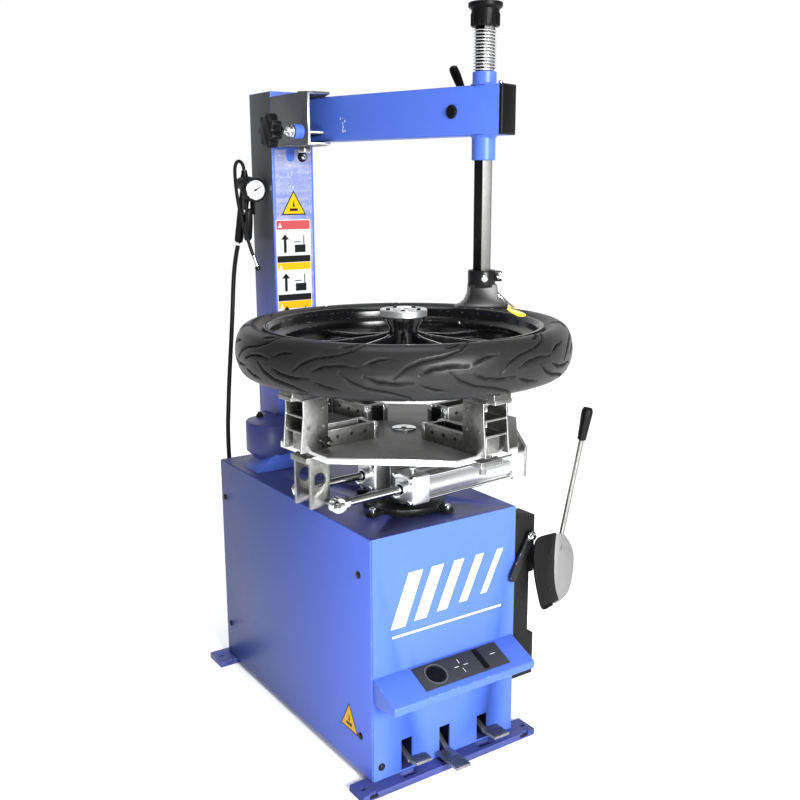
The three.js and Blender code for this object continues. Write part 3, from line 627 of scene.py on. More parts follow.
class Recipe:  # one node tree that makes a mesh from named sizes
    def __init__(self, name):
        self.tree = bpy.data.node_groups.new(name, "GeometryNodeTree")
        for way in ("OUTPUT", "INPUT"):
            self.tree.interface.new_socket(name="Geometry", in_out=way, socket_type="NodeSocketGeometry")
        self.entry = self.tree.nodes.new("NodeGroupInput")
        self.exit = self.tree.nodes.new("NodeGroupOutput")
        self.sizes = {}

    def size(self, name, kind="Float"):  # a named input
        made = self.tree.interface.new_socket(name=name, in_out="INPUT", socket_type="NodeSocket" + kind)
        self.sizes[name] = made.identifier
        return next(s for s in self.entry.outputs if s.identifier == made.identifier)

    def node(self, kind, settings=None, sockets=None):
        return addNode(self.tree, kind, settings, sockets).outputs[0]

    def maths(self, operation, first, second):
        return self.node("ShaderNodeMath", {"operation": operation}, {0: first, 1: second})

    def joined(self, *shapes):
        made = self.tree.nodes.new("GeometryNodeJoinGeometry")
        for shape in reversed(shapes):
            self.tree.links.new(shape, made.inputs[0])
        return made.outputs[0]

    def ends(self, shape, finish):
        real = self.node("GeometryNodeRealizeInstances", None, {0: shape})
        painted = self.node("GeometryNodeSetMaterial", None, {"Geometry": real, "Material": looks[finish]})
        self.tree.links.new(painted, self.exit.inputs[0])
        return self

    def make(self, name, place, sizes, spots=()):
        base = bpy.data.meshes.new(name + "Base")
        base.from_pydata([spot for spot, _ in spots], [], [])
        if spots:
            facing = base.attributes.new("facing", "FLOAT_VECTOR", "POINT")
            facing.data.foreach_set("vector", [c for _, way in spots for c in way])
        holder = placed(name + "Base", base)
        modifier = holder.modifiers.new("recipe", "NODES")
        modifier.node_group = self.tree
        for key, value in sizes.items():
            modifier[self.sizes[key]] = value
        holder.update_tag()
        graph = bpy.context.evaluated_depsgraph_get()
        mesh = bpy.data.meshes.new_from_object(
            holder.evaluated_get(graph), preserve_all_data_layers=True, depsgraph=graph,
        )
        holder.modifiers.clear()
        bpy.data.objects.remove(holder)
        mesh.name = name
        mesh.transform(place)
        return mesh


def repeated(recipe, name, body, place, sizes, spots=()):
    return settled(recipe.make(name, place, sizes, spots), name, body)


def fastenerRecipe(name, finish):  # washer, chamfered head and crown, at every point, along its facing
    recipe = Recipe(name)
    sides = recipe.size("Sides", "Int")
    radius = recipe.size("Head Radius")
    height = recipe.size("Head Height")
    washer = recipe.size("Washer Radius")

    def cone(bottom, top, low, deep, corners):
        sockets = {"Vertices": corners, "Radius Top": top, "Radius Bottom": bottom, "Depth": deep}
        shape = recipe.node("GeometryNodeMeshCone", None, sockets)
        lift = recipe.node("ShaderNodeCombineXYZ", None, {2: low})
        return recipe.node("GeometryNodeTransform", None, {"Geometry": shape, "Translation": lift})

    thin = recipe.maths("MULTIPLY", height, 0.2)
    tall = recipe.maths("MULTIPLY", height, 0.62)
    shoulder = recipe.maths("ADD", thin, tall)
    edge = recipe.maths("MULTIPLY", radius, 0.84)
    crown = recipe.maths("MULTIPLY", radius, 0.5)
    head = recipe.joined(
        cone(washer, washer, 0.0, thin, 28),
        cone(radius, radius, thin, tall, sides),
        cone(radius, edge, shoulder, thin, sides),
        cone(edge, crown, height, recipe.maths("MULTIPLY", height, 0.12), sides),
    )
    kind = {"data_type": "FLOAT_VECTOR"}
    facing = recipe.node("GeometryNodeInputNamedAttribute", kind, {"Name": "facing"})
    turn = recipe.node("FunctionNodeAlignRotationToVector", {"axis": "Z"}, {"Vector": facing})
    sockets = {"Points": recipe.entry.outputs[0], "Instance": head, "Rotation": turn}
    return recipe.ends(recipe.node("GeometryNodeInstanceOnPoints", None, sockets), finish)


fastenerRecipes = {}


def fasteners(name, body, place, spots, finish, sides=6, radius=8, height=6, washer=12):
    if finish not in fastenerRecipes:
        fastenerRecipes[finish] = fastenerRecipe("fastener" + finish.capitalize(), finish)
    sizes = {"Sides": sides, "Head Radius": radius, "Head Height": height, "Washer Radius": washer}
    sizes = {key: value if key == "Sides" else float(value) for key, value in sizes.items()}
    return repeated(fastenerRecipes[finish], name, body, place, sizes, spots)


def rowRecipe(name, finish):  # equal bars along a line
    recipe = Recipe(name)
    count = recipe.size("Count", "Int")
    start = recipe.size("Start", "Vector")
    step = recipe.size("Step", "Vector")
    size = recipe.size("Size", "Vector")
    tilt = recipe.size("Tilt", "Vector")
    sockets = {"Count": count, "Start Location": start, "Offset": step}
    line = recipe.node("GeometryNodeMeshLine", None, sockets)
    cube = recipe.node("GeometryNodeMeshCube", None, {"Size": size})
    sockets = {"Points": line, "Instance": cube, "Rotation": tilt}
    return recipe.ends(recipe.node("GeometryNodeInstanceOnPoints", None, sockets), finish)


def ringRecipe(name, finish):  # equal bars round a circle, each with its X along the radius
    recipe = Recipe(name)
    count = recipe.size("Count", "Int")
    radius = recipe.size("Radius")
    lift = recipe.size("Lift", "Vector")
    size = recipe.size("Size", "Vector")
    circle = recipe.node("GeometryNodeMeshCircle", None, {"Vertices": count, "Radius": radius})
    cube = recipe.node("GeometryNodeMeshCube", None, {"Size": size})
    spot = recipe.node("GeometryNodeInputPosition")
    axes = {"axis": "X", "pivot_axis": "Z"}
    turn = recipe.node("FunctionNodeAlignRotationToVector", axes, {"Vector": spot})
    sockets = {"Points": circle, "Instance": cube, "Rotation": turn}
    bars = recipe.node("GeometryNodeInstanceOnPoints", None, sockets)
    moved = recipe.node("GeometryNodeTransform", None, {"Geometry": bars, "Translation": lift})
    return recipe.ends(moved, finish)


def coilRecipe(name, finish):  # a round wire wound along Z
    recipe = Recipe(name)
    turns = recipe.size("Turns")
    radius = recipe.size("Coil Radius")
    height = recipe.size("Height")
    wire = recipe.size("Wire Radius")
    lift = recipe.size("Lift", "Vector")
    sockets = {"Resolution": 36, "Rotations": turns, "Height": height}
    sockets.update({"Start Radius": radius, "End Radius": radius})
    spiral = recipe.node("GeometryNodeCurveSpiral", None, sockets)
    sockets = {"Resolution": 12, "Radius": wire}
    section = recipe.node("GeometryNodeCurvePrimitiveCircle", None, sockets)
    sockets = {"Curve": spiral, "Profile Curve": section, "Fill Caps": True}
    tube = recipe.node("GeometryNodeCurveToMesh", None, sockets)
    moved = recipe.node("GeometryNodeTransform", None, {"Geometry": tube, "Translation": lift})
    return recipe.ends(moved, finish)


def lobed(grip, steps):  # a round outline with lobes
    outline = []
    for a in (2 * pi * k / steps for k in range(steps)):
        radius = grip["radius"] + grip["wave"] * cos(grip["lobes"] * a)
        outline.append((grip["at"][0] + radius * cos(a), grip["at"][1] + radius * sin(a)))
    return outline


def copied(name, place, node, finish, body, slot, *options):  # a piece made from its node
    return Build(place).node(node, finish, *options).done(name, body, slot, (node,))


# Cabinet

# painted shade: the cabinet's top faces take the darker blue copy of the paint
shadedTopFaces = [(lambda f: f.normal.z > 0.9, "navy")]
copied("cabinetShell", machinePlace, "cabinet_shell", "blue", "cabinet", "blue_paint", 1.8, 3, shadedTopFaces)
# the side cover takes the cover paint, with painted shade towards the back
copied("sideCover", machinePlace, "left_side_cover", "cover", "cabinet", "blue_paint")
footSlots = {"at": (-218, 212), "halfWide": 11, "height": (-11.5, -4.5), "proud": 0.5}
for foot in ("front", "rear"):
    footName = foot + "_foot"
    # painted shade: the feet take the darker blue copy of the paint
    rail = Build(machinePlace).node(footName, "navy", 1.4)
    if foot == "front":
        edge = (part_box(footName)[0].y - frontEdge.y) / milli
        # painted shade: a dark plate stands for the inside of each slot
        for at in footSlots["at"]:
            span = (at - footSlots["halfWide"], at + footSlots["halfWide"])
            rail.block(span, (edge - 0.3, edge + footSlots["proud"]), footSlots["height"], "ink", 0)
    rail.done(foot + "Foot", "cabinet", "blue_paint", (footName,))

left, front = (-1, 0, 0), (0, -1, 0)
coverSpots = [((-200, y, z), left) for y, z in ((50, 475), (49, 91), (740, 466), (737, 96))]
frontSpots = [((-176, 0, 31), front)]
for name, spots in (("coverScrews", coverSpots), ("frontScrew", frontSpots)):
    fasteners(name, "cabinet", machinePlace, spots, "black", 20, 6.5, 4, 9)

graphic = {
    "bars": 5, "from": -150, "pitch": 62, "wide": 38, "narrower": 5, "slant": 48, "low": 352, "rise": 6,
    "high": 474, "proud": 0.35, "line": ((-146, 160), (330, 335)),
}
stripes = Build(machinePlace)
sheet = (-graphic["proud"], 0.02)
for bar in range(graphic["bars"]):
    x, high = graphic["from"] + graphic["pitch"] * bar, graphic["high"]
    low, end = graphic["low"] + graphic["rise"] * bar, x + graphic["wide"] - graphic["narrower"] * bar
    outline = [(x, low), (end, low), (end + graphic["slant"], high), (x + graphic["slant"], high)]
    stripes.plate("y", outline, *sheet, "white", 0)
stripes.block(graphic["line"][0], sheet, graphic["line"][1], "white", 0)
stripes.done("frontGraphic", "cabinet", "blue_paint")


def triangle(build, axis, middle, low, side, out, finish, inner):  # bordered, with a plain mark in it
    tall = side * sqrt(3) / 2

    def shape(across, bottom, top, thick, colour, square=False):  # shares of the side and height
        sheet = sorted((out, out + inner * thick))
        left, right = middle - side * across, middle + side * across
        base, tip = low + tall * bottom, low + tall * top
        ends = [(right, tip), (left, tip)] if square else [(middle, tip)]
        build.plate(axis, [(left, base), (right, base), *ends], *sheet, colour, 0)

    lift = 0.045 * side / tall
    shape(0.5, 0, 1, 0.3, "ink")
    shape(0.43, lift, lift + 0.86, 0.48, finish)
    shape(0.16, 0.16, 0.27, 0.62, "ink", True)
    shape(0.05, 0.33, 0.62, 0.62, "ink")


sideLabel = Build(machinePlace)
triangle(sideLabel, "x", 97, 84, 76, -200, "amber", -1)
sideLabel.done("sideLabel", "cabinet", "yellow_plastic")
print("cabinet made")

# Console

copied("consoleShelf", machinePlace, "console_shelf", "blue", "cabinet", "blue_paint", 2.2, 3)
console = {"width": (-102, 134), "depth": (-74, -8), "dish": 25, "dishAt": (-56, -41), "cross": (14, -41)}
slopePlace = machinePlace @ move(0, 0, 250) @ Matrix.Rotation(atan2(35, 83), 4, "X")
pad = Build(slopePlace)
pad.block(console["width"], console["depth"], (0.3, 3.6), "grey", 1.5)
dish = console["dish"]
dishTurn = move(*console["dishAt"], 0)
pad.turned([
    (dish - 1, 3.4), (dish + 4, 3.4), (dish + 3, 4.6), (dish + 0.5, 4.9), (dish - 2, 3.9),
], "grey", 64, dishTurn, ring=True)
pad.turned([(0, 3.4), (dish - 2, 3.4), (dish - 2, 3.75), (8, 3.95), (0, 3.95)], "plastic", 64, dishTurn)
pad.turned([(0, 3.9), (6.5, 3.9), (5.5, 6.0), (0, 6.4)], "plastic", 40, dishTurn)
pad.block((62, 78), (-70, -12), (3.4, 4.2), "plastic", 0.5)
pad.done("consolePad", "cabinet", "grey_plastic", ("console_panel",))
marks = Build(slopePlace)
for turnNumber in range(4):
    turn = move(*console["cross"], 0) @ turnBy(90 * turnNumber)
    marks.block((7, 19), (-0.7, 0.7), (3.4, 3.8), "white", 0, turn)
marks.block((100, 114), (-38, -36.4), (3.4, 3.8), "white", 0)
marks.done("consoleMarks", "cabinet", "grey_plastic")
dial = ringRecipe("consoleDial", "white")
dialSizes = {"Count": 40, "Radius": dish + 1.6, "Lift": (*console["dishAt"], 4.9), "Size": (0.5, 1.6, 0.3)}
repeated(dial, "consoleDial", "cabinet", slopePlace, dialSizes)
print("console made")

# Pedals: worn plates on cranked levers, ribbed across

ribs = rowRecipe("pedalRibs", "zinc")
pedals = {
    "left": {"middle": -83, "reach": -35, "top": 32, "wide": 42, "ribs": 3},
    "middle": {"middle": -12, "reach": -87, "top": 20, "wide": 36, "ribs": 6},
    "right": {"middle": 128, "reach": -53, "top": 32, "wide": 42, "ribs": 4},
}
for side, pedal in pedals.items():
    nodeName = "pedal_" + side
    copied(side + "Pedal", machinePlace, nodeName, "worn", nodeName, "worn_steel", 0.9)
    ribSizes = {
        "Count": pedal["ribs"], "Start": (pedal["middle"], pedal["reach"] + 4, pedal["top"] + 0.5),
        "Step": (0.0, 7.5, 0.0), "Size": (pedal["wide"] - 3.0, 3.4, 2.4), "Tilt": (0.0, 0.0, 0.0),
    }
    repeated(ribs, side + "PedalRibs", nodeName, machinePlace, ribSizes)
print("pedals made")

# Drive

copied("gearboxCasting", machinePlace, "gearbox", "black", "cabinet", "black_paint", 1.2)
driveMotor = {"x": -78, "z": 470, "radius": 66, "hood": 62, "fins": 36}
x, z = driveMotor["x"], driveMotor["z"]
motor = Build(machinePlace)
motor.rod((x, 260.3, z), (x, 477, z), driveMotor["radius"], "black", 64, None, 2)
motor.rod((x, 470, z), (x, 519, z), driveMotor["hood"], "black", 64, None, 4)
motor.block((-118, -38), (317, 407), (520, 556), "black", 2)
motor.done("driveMotor", "cabinet", "black_paint", ("drive_motor",))
fins = ringRecipe("motorFins", "black")
finTurn = move(x, 368, z) @ turnBy(90, "X")
finRadius = driveMotor["radius"] + 0.5
finSizes = {
    "Count": driveMotor["fins"], "Radius": finRadius, "Lift": (0.0, 0.0, 0.0), "Size": (3.0, 2.0, 200.0),
}
repeated(fins, "motorFins", "cabinet", machinePlace @ finTurn, finSizes)
legSpots = []
for angle in (20, 110, 200, 290):
    spot = turnBy(angle) @ Vector((121, 0, 0))
    legSpots.append(((spot.x, 167 + spot.y, 576), (0, 0, 1)))
fasteners("legBolts", "cabinet", machinePlace, legSpots, "bright", 20, 8, 12, 11)
fasteners("legWashers", "cabinet", machinePlace, legSpots, "rubber", 28, 14, 3.5, 15)
print("drive made")

# Turntable

# painted highlight: the plate's side faces take bright steel
litEdgeFaces = [(lambda f: abs(f.normal.z) < 0.8, "bright")]
copied("tablePlate", tablePlace, "turntable_plate", "satin", "turntable", "zinc_steel", 1.0, 2, litEdgeFaces)
spindle = Build(tablePlace).node("spindle", "satin", 0.8)
spindle.turned([(0, 1.2), (28, 1.2), (28, 2.2), (26.5, 3), (0, 3)], "bright", 64)
spindle.hexRod((0, 0, 2.9), (0, 0, 3.15), 7.5, "ink", 0)
spindle.done("spindleCap", "turntable", "bright_steel", ("spindle",))

jaw = {"railHoles": (135, 172, 209), "holeRadius": 4.2, "bolts": ((248, 52), (248, 92), (286, 52))}
handScrew = {"at": (251, 20), "radius": 11, "wave": 1.6, "lobes": 6}
for turns, side in enumerate(("right", "rear", "left", "front")):
    body = "jaw_" + side
    turn = turnBy(90 * turns)
    guide = Build(tablePlace).node("jaw_guide_" + side, "zinc", 0.8)
    guide.block((97, 108.7), (-17, 17), (0.4, 34), "plastic", 1.0, turn)
    guide.block((98, 109.5), (17, 31), (0.4, 37), "bright", 1.0, turn)
    guide.block((98, 109.5), (-31, -17), (0.4, 37), "bright", 1.0, turn)
    # painted shade: dark discs stand for the rail holes
    for hole in jaw["railHoles"]:
        for face in (-1, 1):
            start, end = (hole, face * 30.6, 22), (hole, face * 31.25, 22)
            guide.rod(start, end, jaw["holeRadius"], "ink", 18, None, 0, turn)
    guide.done(side + "Guide", "turntable", "zinc_steel", ("jaw_guide_" + side,))
    copied(side + "Slide", tablePlace, "jaw_slide_" + side, "zinc", body, "zinc_steel", 0.8)
    tower = Build(tablePlace).node("jaw_adapter_" + side, "zinc", 0.9)
    tower.block((299, 315.5), (-22, 22), (143.8, 144.9), "rubber", 0.3, turn)
    tower.done(side + "Tower", body, "zinc_steel", ("jaw_adapter_" + side,))
    way = turn @ Vector((0, 1, 0))
    spots = []
    for face in (-1, 1):
        for along, height in jaw["bolts"]:
            spot = turn @ Vector((along, face * 35, height))
            spots.append((tuple(spot), tuple(way * face)))
    fasteners(side + "TowerBolts", body, tablePlace, spots, "satin", 20, 3.6, 2.2, 4.2)
    handle = Build(tablePlace)
    outline = lobed(handScrew, 48)
    handle.plate("y", outline, 42, 54, "plastic", 1.2, turn)
    handle.rod((251, 35, 20), (251, 43, 20), 6, "bright", 24, None, 0.8, turn)
    handle.rod((251, 54, 20), (251, 60, 20), 4, "bright", 24, None, 0.8, turn)
    handle.done(side + "HandScrew", body, "black_plastic")
print("jaws made")

# Clamping cylinders

clamp = {"axis": -116, "offset": 70, "tie": 26, "ports": (-33, 272), "rod": 9, "eye": -241}
height = clamp["axis"]
for place, offset in (("front", -clamp["offset"]), ("rear", clamp["offset"])):
    barrel = Build(tablePlace)
    turn = move(0, offset, height) @ turnBy(90, "Y")
    barrel.turned([(27, -9), (31, -9), (31, 257), (27, 257)], "alloy", 96, turn, ring=True)
    for ends in ((-58, -8), (256, 295.7)):
        barrel.block(ends, (offset - 34, offset + 34), (height - 34, height + 34), "alloy", 5, None, 3)
    barrel.rod((-70, offset, height), (-57.5, offset, height), 17, "alloy", 40, 15, 1.5)
    barrel.rod((-72, offset, height), (-69, offset, height), 12, "darkMetal", 40, None, 0.8)
    for dy in (-clamp["tie"], clamp["tie"]):
        for dz in (-clamp["tie"], clamp["tie"]):
            corner = (offset + dy, height + dz)
            barrel.rod((-60, *corner), (292, *corner), 4, "bright", 20, None, 0.4)
            barrel.hexRod((-66, *corner), (-57.6, *corner), 7.2, "bright", 0.7)
    for along in clamp["ports"]:
        barrel.rod((along, offset, -83), (along, offset, -74), 7, "bright", 24, None, 0.8)
        barrel.hexRod((along, offset, -77), (along, offset, -70), 8.5, "bright", 0.7)
    barrel.done(place + "ClampBarrel", "jaw_right", "cast_aluminium", ("clamp_barrel_" + place,))
    rod = Build(tablePlace)
    rod.rod((-226, offset, height), (95, offset, height), clamp["rod"], "bright", 40)
    rod.rod((82, offset, height), (99, offset, height), 26.4, "darkMetal", 48)
    eye = move(clamp["eye"], offset, height) @ turnBy(90, "X")
    rod.turned([(7.4, -9), (16, -9), (17, -8), (17, 8), (16, 9), (7.4, 9)], "bright", 48, eye, ring=True)
    rod.hexRod((-226, offset, height), (-212, offset, height), 13, "bright", 1)
    rod.done(place + "ClampRod", "jaw_left", "bright_steel", ("clamp_rod_" + place,))
pinSpots = [((clamp["eye"], face * 86, height), (0, face, 0)) for face in (-1, 1)]
fasteners("clampPinNuts", "jaw_left", tablePlace, pinSpots, "bright", 6, 10, 8, 12)
print("clamping cylinders made")

# Wheel

tyre = {
    "around": 1000, "pitches": 11, "depth": 4.2, "wide": 2.5, "across": 76, "crown": 377, "height": 195,
    "outside": [
        (307, -39.5), (314, -41.5), (322, -47), (330, -51.5), (338.5, -54.4), (347, -55), (356, -51),
        (364, -44), (371, -31), (375.3, -16), (377, 0),
    ],
    "inside": [(367, 0), (364, 18), (357, 34), (347, 43), (330, 41), (312, 30), (303.2, 27), (304.6, 38)],
    "grooves": [
        [(-8, -4), (14, 14), (44, 27), (92, 36), (126, 48), (150, 70), (158, 88)],
        [(40, 2), (64, 12), (104, 17), (138, 14)],
        [(96, 54), (122, 62), (146, 82)],
        [(150, 20), (176, 30), (206, 34)],
    ],
}


def tyreMesh():
    outer = [(v.x, v.y) for v in pathThrough([(r, z, 0) for r, z in tyre["outside"]], 12)]
    lengths = np.cumsum([0] + [dist(a, b) for a, b in zip(outer, outer[1:])])
    spread = np.linspace(0, lengths[-1], tyre["across"] // 2 + 1)
    radii = np.interp(spread, lengths, [r for r, _ in outer])
    heights = np.interp(spread, lengths, [z for _, z in outer])
    radii = np.concatenate([radii, radii[-2::-1]])
    heights = np.concatenate([heights, -heights[-2::-1]])
    fromCrown = np.concatenate([spread - spread[-1], spread[-1] - spread[-2::-1]])
    count = tyre["around"]
    angles = np.arange(count) * 2 * pi / count
    around = angles * tyre["crown"]
    pitch = 2 * pi * tyre["crown"] / tyre["pitches"]
    grid = np.stack(np.meshgrid(around % pitch, fromCrown, indexing="ij"), -1)
    share = np.zeros(grid.shape[:2])
    for side in (1, -1):
        for groove in tyre["grooves"]:
            offset = 0 if side > 0 else pitch / 2
            total = sum(dist(a, b) for a, b in zip(groove, groove[1:]))
            done = 0
            for (u0, s0), (u1, s1) in zip(groove, groove[1:]):
                length = dist((u0, s0), (u1, s1))
                for lap in (-1, 0, 1):
                    start = np.array([u0 + offset + lap * pitch, s0 * side])
                    along = np.array([u1 - u0, (s1 - s0) * side])
                    t = np.clip(((grid - start) @ along) / (along @ along), 0, 1)
                    gapTo = np.linalg.norm(grid - start - t[..., None] * along, axis=-1)
                    run = (done + t * length) / total
                    wide = tyre["wide"] * np.clip(np.minimum(run * 6, (1 - run) * 3), 0.35, 1)
                    fade = np.clip((wide + 1.6 - gapTo) / 3.0, 0, 1)  # a sloping wall
                    share = np.maximum(share, fade * fade * (3 - 2 * fade))
                done += length
    depth = tyre["depth"] * share
    tangent = np.stack([np.gradient(radii), np.gradient(heights)], -1)
    tangent /= np.linalg.norm(tangent, axis=1)[:, None]
    outR, outZ = tangent[:, 1], -tangent[:, 0]
    r = radii[None, :] - depth * outR[None, :]
    z = heights[None, :] - depth * outZ[None, :]
    inner = [*tyre["inside"], *[(a, -b) for a, b in tyre["inside"][:0:-1]]]
    innerR = np.array([a for a, _ in inner])
    innerZ = np.array([b for _, b in inner])
    r = np.concatenate([r, np.repeat(innerR[None, :], count, 0)], 1)
    z = np.concatenate([z, np.repeat(innerZ[None, :], count, 0)], 1)
    mark = np.concatenate([share, np.zeros((count, len(inner)))], 1)
    rows = r.shape[1]
    x, y = r * np.cos(angles)[:, None], r * np.sin(angles)[:, None]
    points = np.stack([x, y, z + tyre["height"]], -1).reshape(-1, 3)
    faces = []
    for i in range(count):
        near, far = i * rows, ((i + 1) % count) * rows
        for j in range(rows):
            k = (j + 1) % rows
            faces.append((near + j, far + j, far + k, near + k))
    mesh = bpy.data.meshes.new("tyre")
    mesh.from_pydata(points.tolist(), [], faces)
    # the groove mark, which the tyre look uses for painted shade in the grooves
    groove = mesh.attributes.new("groove", "FLOAT", "POINT")
    groove.data.foreach_set("value", mark.ravel().astype(np.float32))
    mesh.transform(tablePlace)
    mesh.update()
    return mesh


settled(tyreMesh(), "tyreCasing", "turntable", ("tyre",), ["tyre"], 120)

rim = Build(tablePlace)
wheel = {"spokes": 8, "firstSpoke": 5.7, "bolts": 5, "firstBolt": 12, "boltCircle": 36}
lift = move(0, 0, tyre["height"])
rimOutside = [(313, -50), (313, -43), (304, -40), (302, -24), (282, -16)]
rimInside = [(306, -50), (298, -41), (296, -26), (276, -18)]
rimHalf = [*reversed(rimInside), *rimOutside]
rimRest = [(r, -z) for r, z in reversed(rimHalf)]
rim.turned([*rimHalf, *rimRest], "lacquer", 160, lift, ring=True, edge=1.6)
rim.turned([
    (12.5, -49.5), (50, -49.5), (52, -47), (52, -37), (49, -35), (34, -26), (33, -10), (33, 30), (37, 44),
    (46, 56), (48, 65.6), (12.5, 65.6),
], "lacquer", 96, lift, ring=True)
rim.turned([
    (12.5, 65.6), (49, 65.6), (53, 67), (53, 79.5), (51.5, 81.8), (47, 81.8), (45.5, 80.4), (26, 80.4),
    (25, 81.8), (12.5, 81.8),
], "alloy", 96, lift, ring=True)
for spoke in range(wheel["spokes"]):
    turn = lift @ turnBy(wheel["firstSpoke"] + 360 / wheel["spokes"] * spoke)
    rim.plate("y", [
        (28, 32), (60, 22), (150, 10), (240, 7), (281, 9), (281, -8), (240, -7), (150, -5), (60, -8),
        (28, -14),
    ], -6.5, 6.5, "lacquer", 2.2, turn)
    rim.plate("y", [
        (42, 28.2), (62, 21.9), (150, 10.0), (240, 7.0), (262, 8.1), (262, 8.9), (240, 7.9), (150, 10.9),
        (62, 22.8), (42, 29.1),
    ], -1.5, 1.5, "bright", 0.3, turn)
# painted shade: a dark core stands for the inside of the hub bore
rim.turned([(0, -40), (10, -40), (10, 76), (0, 76)], "ink", 40, lift)
rim.done("wheelRim", "turntable", "gloss_black", ("wheel_rim",))
hubSpots = []
for bolt in range(wheel["bolts"]):
    turn = turnBy(360 / wheel["bolts"] * bolt + wheel["firstBolt"])
    spot = turn @ Vector((wheel["boltCircle"], 0, 275.6))
    hubSpots.append((tuple(spot), (0, 0, 1)))
fasteners("hubBolts", "turntable", tablePlace, hubSpots, "darkMetal", 6, 4.6, 3.4, 5.4)
valve = Build(tablePlace)
valve.rod((262, 84, 206), (247, 79, 213), 4, "rubber", 20, 3.2)
valve.rod((247, 79, 213), (238, 76, 217), 3.0, "bright", 20, 2.6)
valve.done("tyreValve", "turntable", "bright_steel")
print("wheel made")

# Column

columnBase = {
    "drumAt": (-102, 640),
    "drum": [
        (0, 590.5), (44, 590.5), (48, 592), (67, 611), (68, 613), (68, 687), (66.5, 689.4), (64.5, 690),
        (0, 690),
    ],
}
base = Build(machinePlace)
# painted shade: the drum and the blocks beside it take the darker blue copy of the paint
base.turned(columnBase["drum"], "navy", 128, move(*columnBase["drumAt"], 0))
base.plate("y", [(-177.5, 568.4), (-66, 659.5), (-66, 568.4)], 577, 660, "blue", 1.2)
for width, depth in (((-73, -65.4), (655, 760)), ((55.4, 63), (655, 760)), ((-73, 63), (655, 664.6))):
    base.block(width, depth, (568.4, 686), "navy", 2)
base.done("columnBase", "cabinet", "blue_paint", ("column_base",))
# painted shade: the column's left faces take the darker grey-to-blue paint
shadedLeftFace = [(lambda f: f.normal.x < -0.9, "slate")]
copied("columnTube", machinePlace, "column", "blue", "cabinet", "blue_paint", 3.0, 4, shadedLeftFace)
plug = Build(machinePlace)
plug.rod((-112, 690, 689.5), (-112, 690, 698), 10, "rubber", 32, 8, 1.5)
plug.rod((-112, 690, 696), (-112, 690, 703), 5.5, "rubber", 28, 4.5, 1)
plug.done("drumGrommet", "cabinet", "black_rubber")

cover = {"left": -57, "right": 49, "low": 752, "top": 1386, "notchAt": -12, "notchDeep": 18, "notch": 12}
film = Build(machinePlace)
notch = []
for a in (pi * k / 10 for k in range(11)):
    x = cover["notchAt"] + cover["notch"] * cos(a)
    notch.append((x, cover["top"] - cover["notchDeep"] - cover["notch"] * sin(a)))
film.plate("y", [
    (cover["left"], cover["low"]), (cover["right"], cover["low"]), (cover["right"], cover["top"]),
    (notch[0][0], cover["top"]), *notch, (notch[-1][0], cover["top"]), (cover["left"], cover["top"]),
], 664.72, 665.2, "film", 0)
film.done("columnFilm", "cabinet", "blue_paint")

strip = {
    "left": -60, "right": 42, "top": 1209, "low": 930, "face": 664.7,
    "bands": (1116, 1015), "pictures": (1124, 1023, 936), "marks": (1207, 1098, 997),
}
label = Build(machinePlace)
triangle(label, "y", -6, 1221, 72, strip["face"], "amber", -1)
face = strip["face"]
label.block((strip["left"], strip["right"]), (face - 0.3, face), (strip["low"], strip["top"]), "white", 0)


def printed(x, z, finish, height=0.5):
    label.block(x, (face - height, face), z, finish, 0)


wide = (strip["left"] + 2, strip["right"] - 2)
printed(wide, (1184, 1207), "red")
for bandTop in strip["bands"]:
    printed(wide, (bandTop - 17, bandTop), "ink")
    printed(wide, (bandTop - 37, bandTop - 18), "amber")
for low in strip["pictures"]:  # a plain picture: a bench with a post beside it, and an arrow
    printed((-6, 26), (low, low + 20), "ink")
    printed((20, 23), (low + 20, low + 44), "ink")
    printed((-8, 12), (low + 26, low + 28.5), "ink")
    printed((-38, -30), (low, low + 34), "ink")
    label.plate("y", [(-46, low + 34), (-22, low + 34), (-34, low + 48)], face - 0.5, face, "ink", 0)
for top in strip["marks"]:
    label.plate("y", [(-54, top - 18), (-42, top - 18), (-48, top - 6)], face - 0.8, face, "white", 0)
label.done("columnLabels", "cabinet", "yellow_plastic")
print("column made")

# Arm bracket, stop screw and pivot


def alongWeb(x, low, high):  # picks the bracket's long edges, which are bends in its plate
    def picks(e):
        ends = [v.co for v in e.verts]
        return all(abs(c.x - x) < 0.1 and min(abs(c.z - low), abs(c.z - high)) < 0.1 for c in ends)
    return picks


# painted highlight: the bracket's front cut faces take bright steel
copied(
    "armBracket", machinePlace, "arm_bracket", "bracket", "cabinet", "bracket_steel", 1.2, 2,
    [(lambda f: f.normal.y < -0.9 and f.calc_center_median().y < 475, "bright")],
    [(alongWeb(-57, 1397, 1508), 6), (alongWeb(-63, 1391, 1514), 12)],
)
boss = Build(machinePlace)
boss.rod((-89, 504, 1422), (-64, 504, 1422), 17, "blue", 48, None, 2)
boss.done("stopBoss", "cabinet", "blue_paint")
stopKnob = {"at": (504, 1422), "radius": 35.5, "wave": 5, "lobes": 7, "thick": (-162.8, -134.5)}
knob = Build(machinePlace)
knob.plate("x", lobed(stopKnob, 84), *stopKnob["thick"], "plastic", 5, None, 40)
knob.rod((-136, 504, 1422), (-118, 504, 1422), 15, "plastic", 48, 12.5, 2)
knob.rod((-130, 504, 1422), (-7.2, 504, 1422), 6.5, "bright", 32, None, 1.5)
knob.hexRod((-104, 504, 1422), (-93, 504, 1422), 12, "bright", 1)
knob.rod((-92.5, 504, 1422), (-90, 504, 1422), 14, "bright", 40, None, 0.5)
knob.done("stopKnob", "stop_knob", "black_plastic", ("stop_knob",))
pin = Build(machinePlace)
pin.rod((-5, 600, 1379), (-5, 600, 1518), 10.4, "bright", 40)
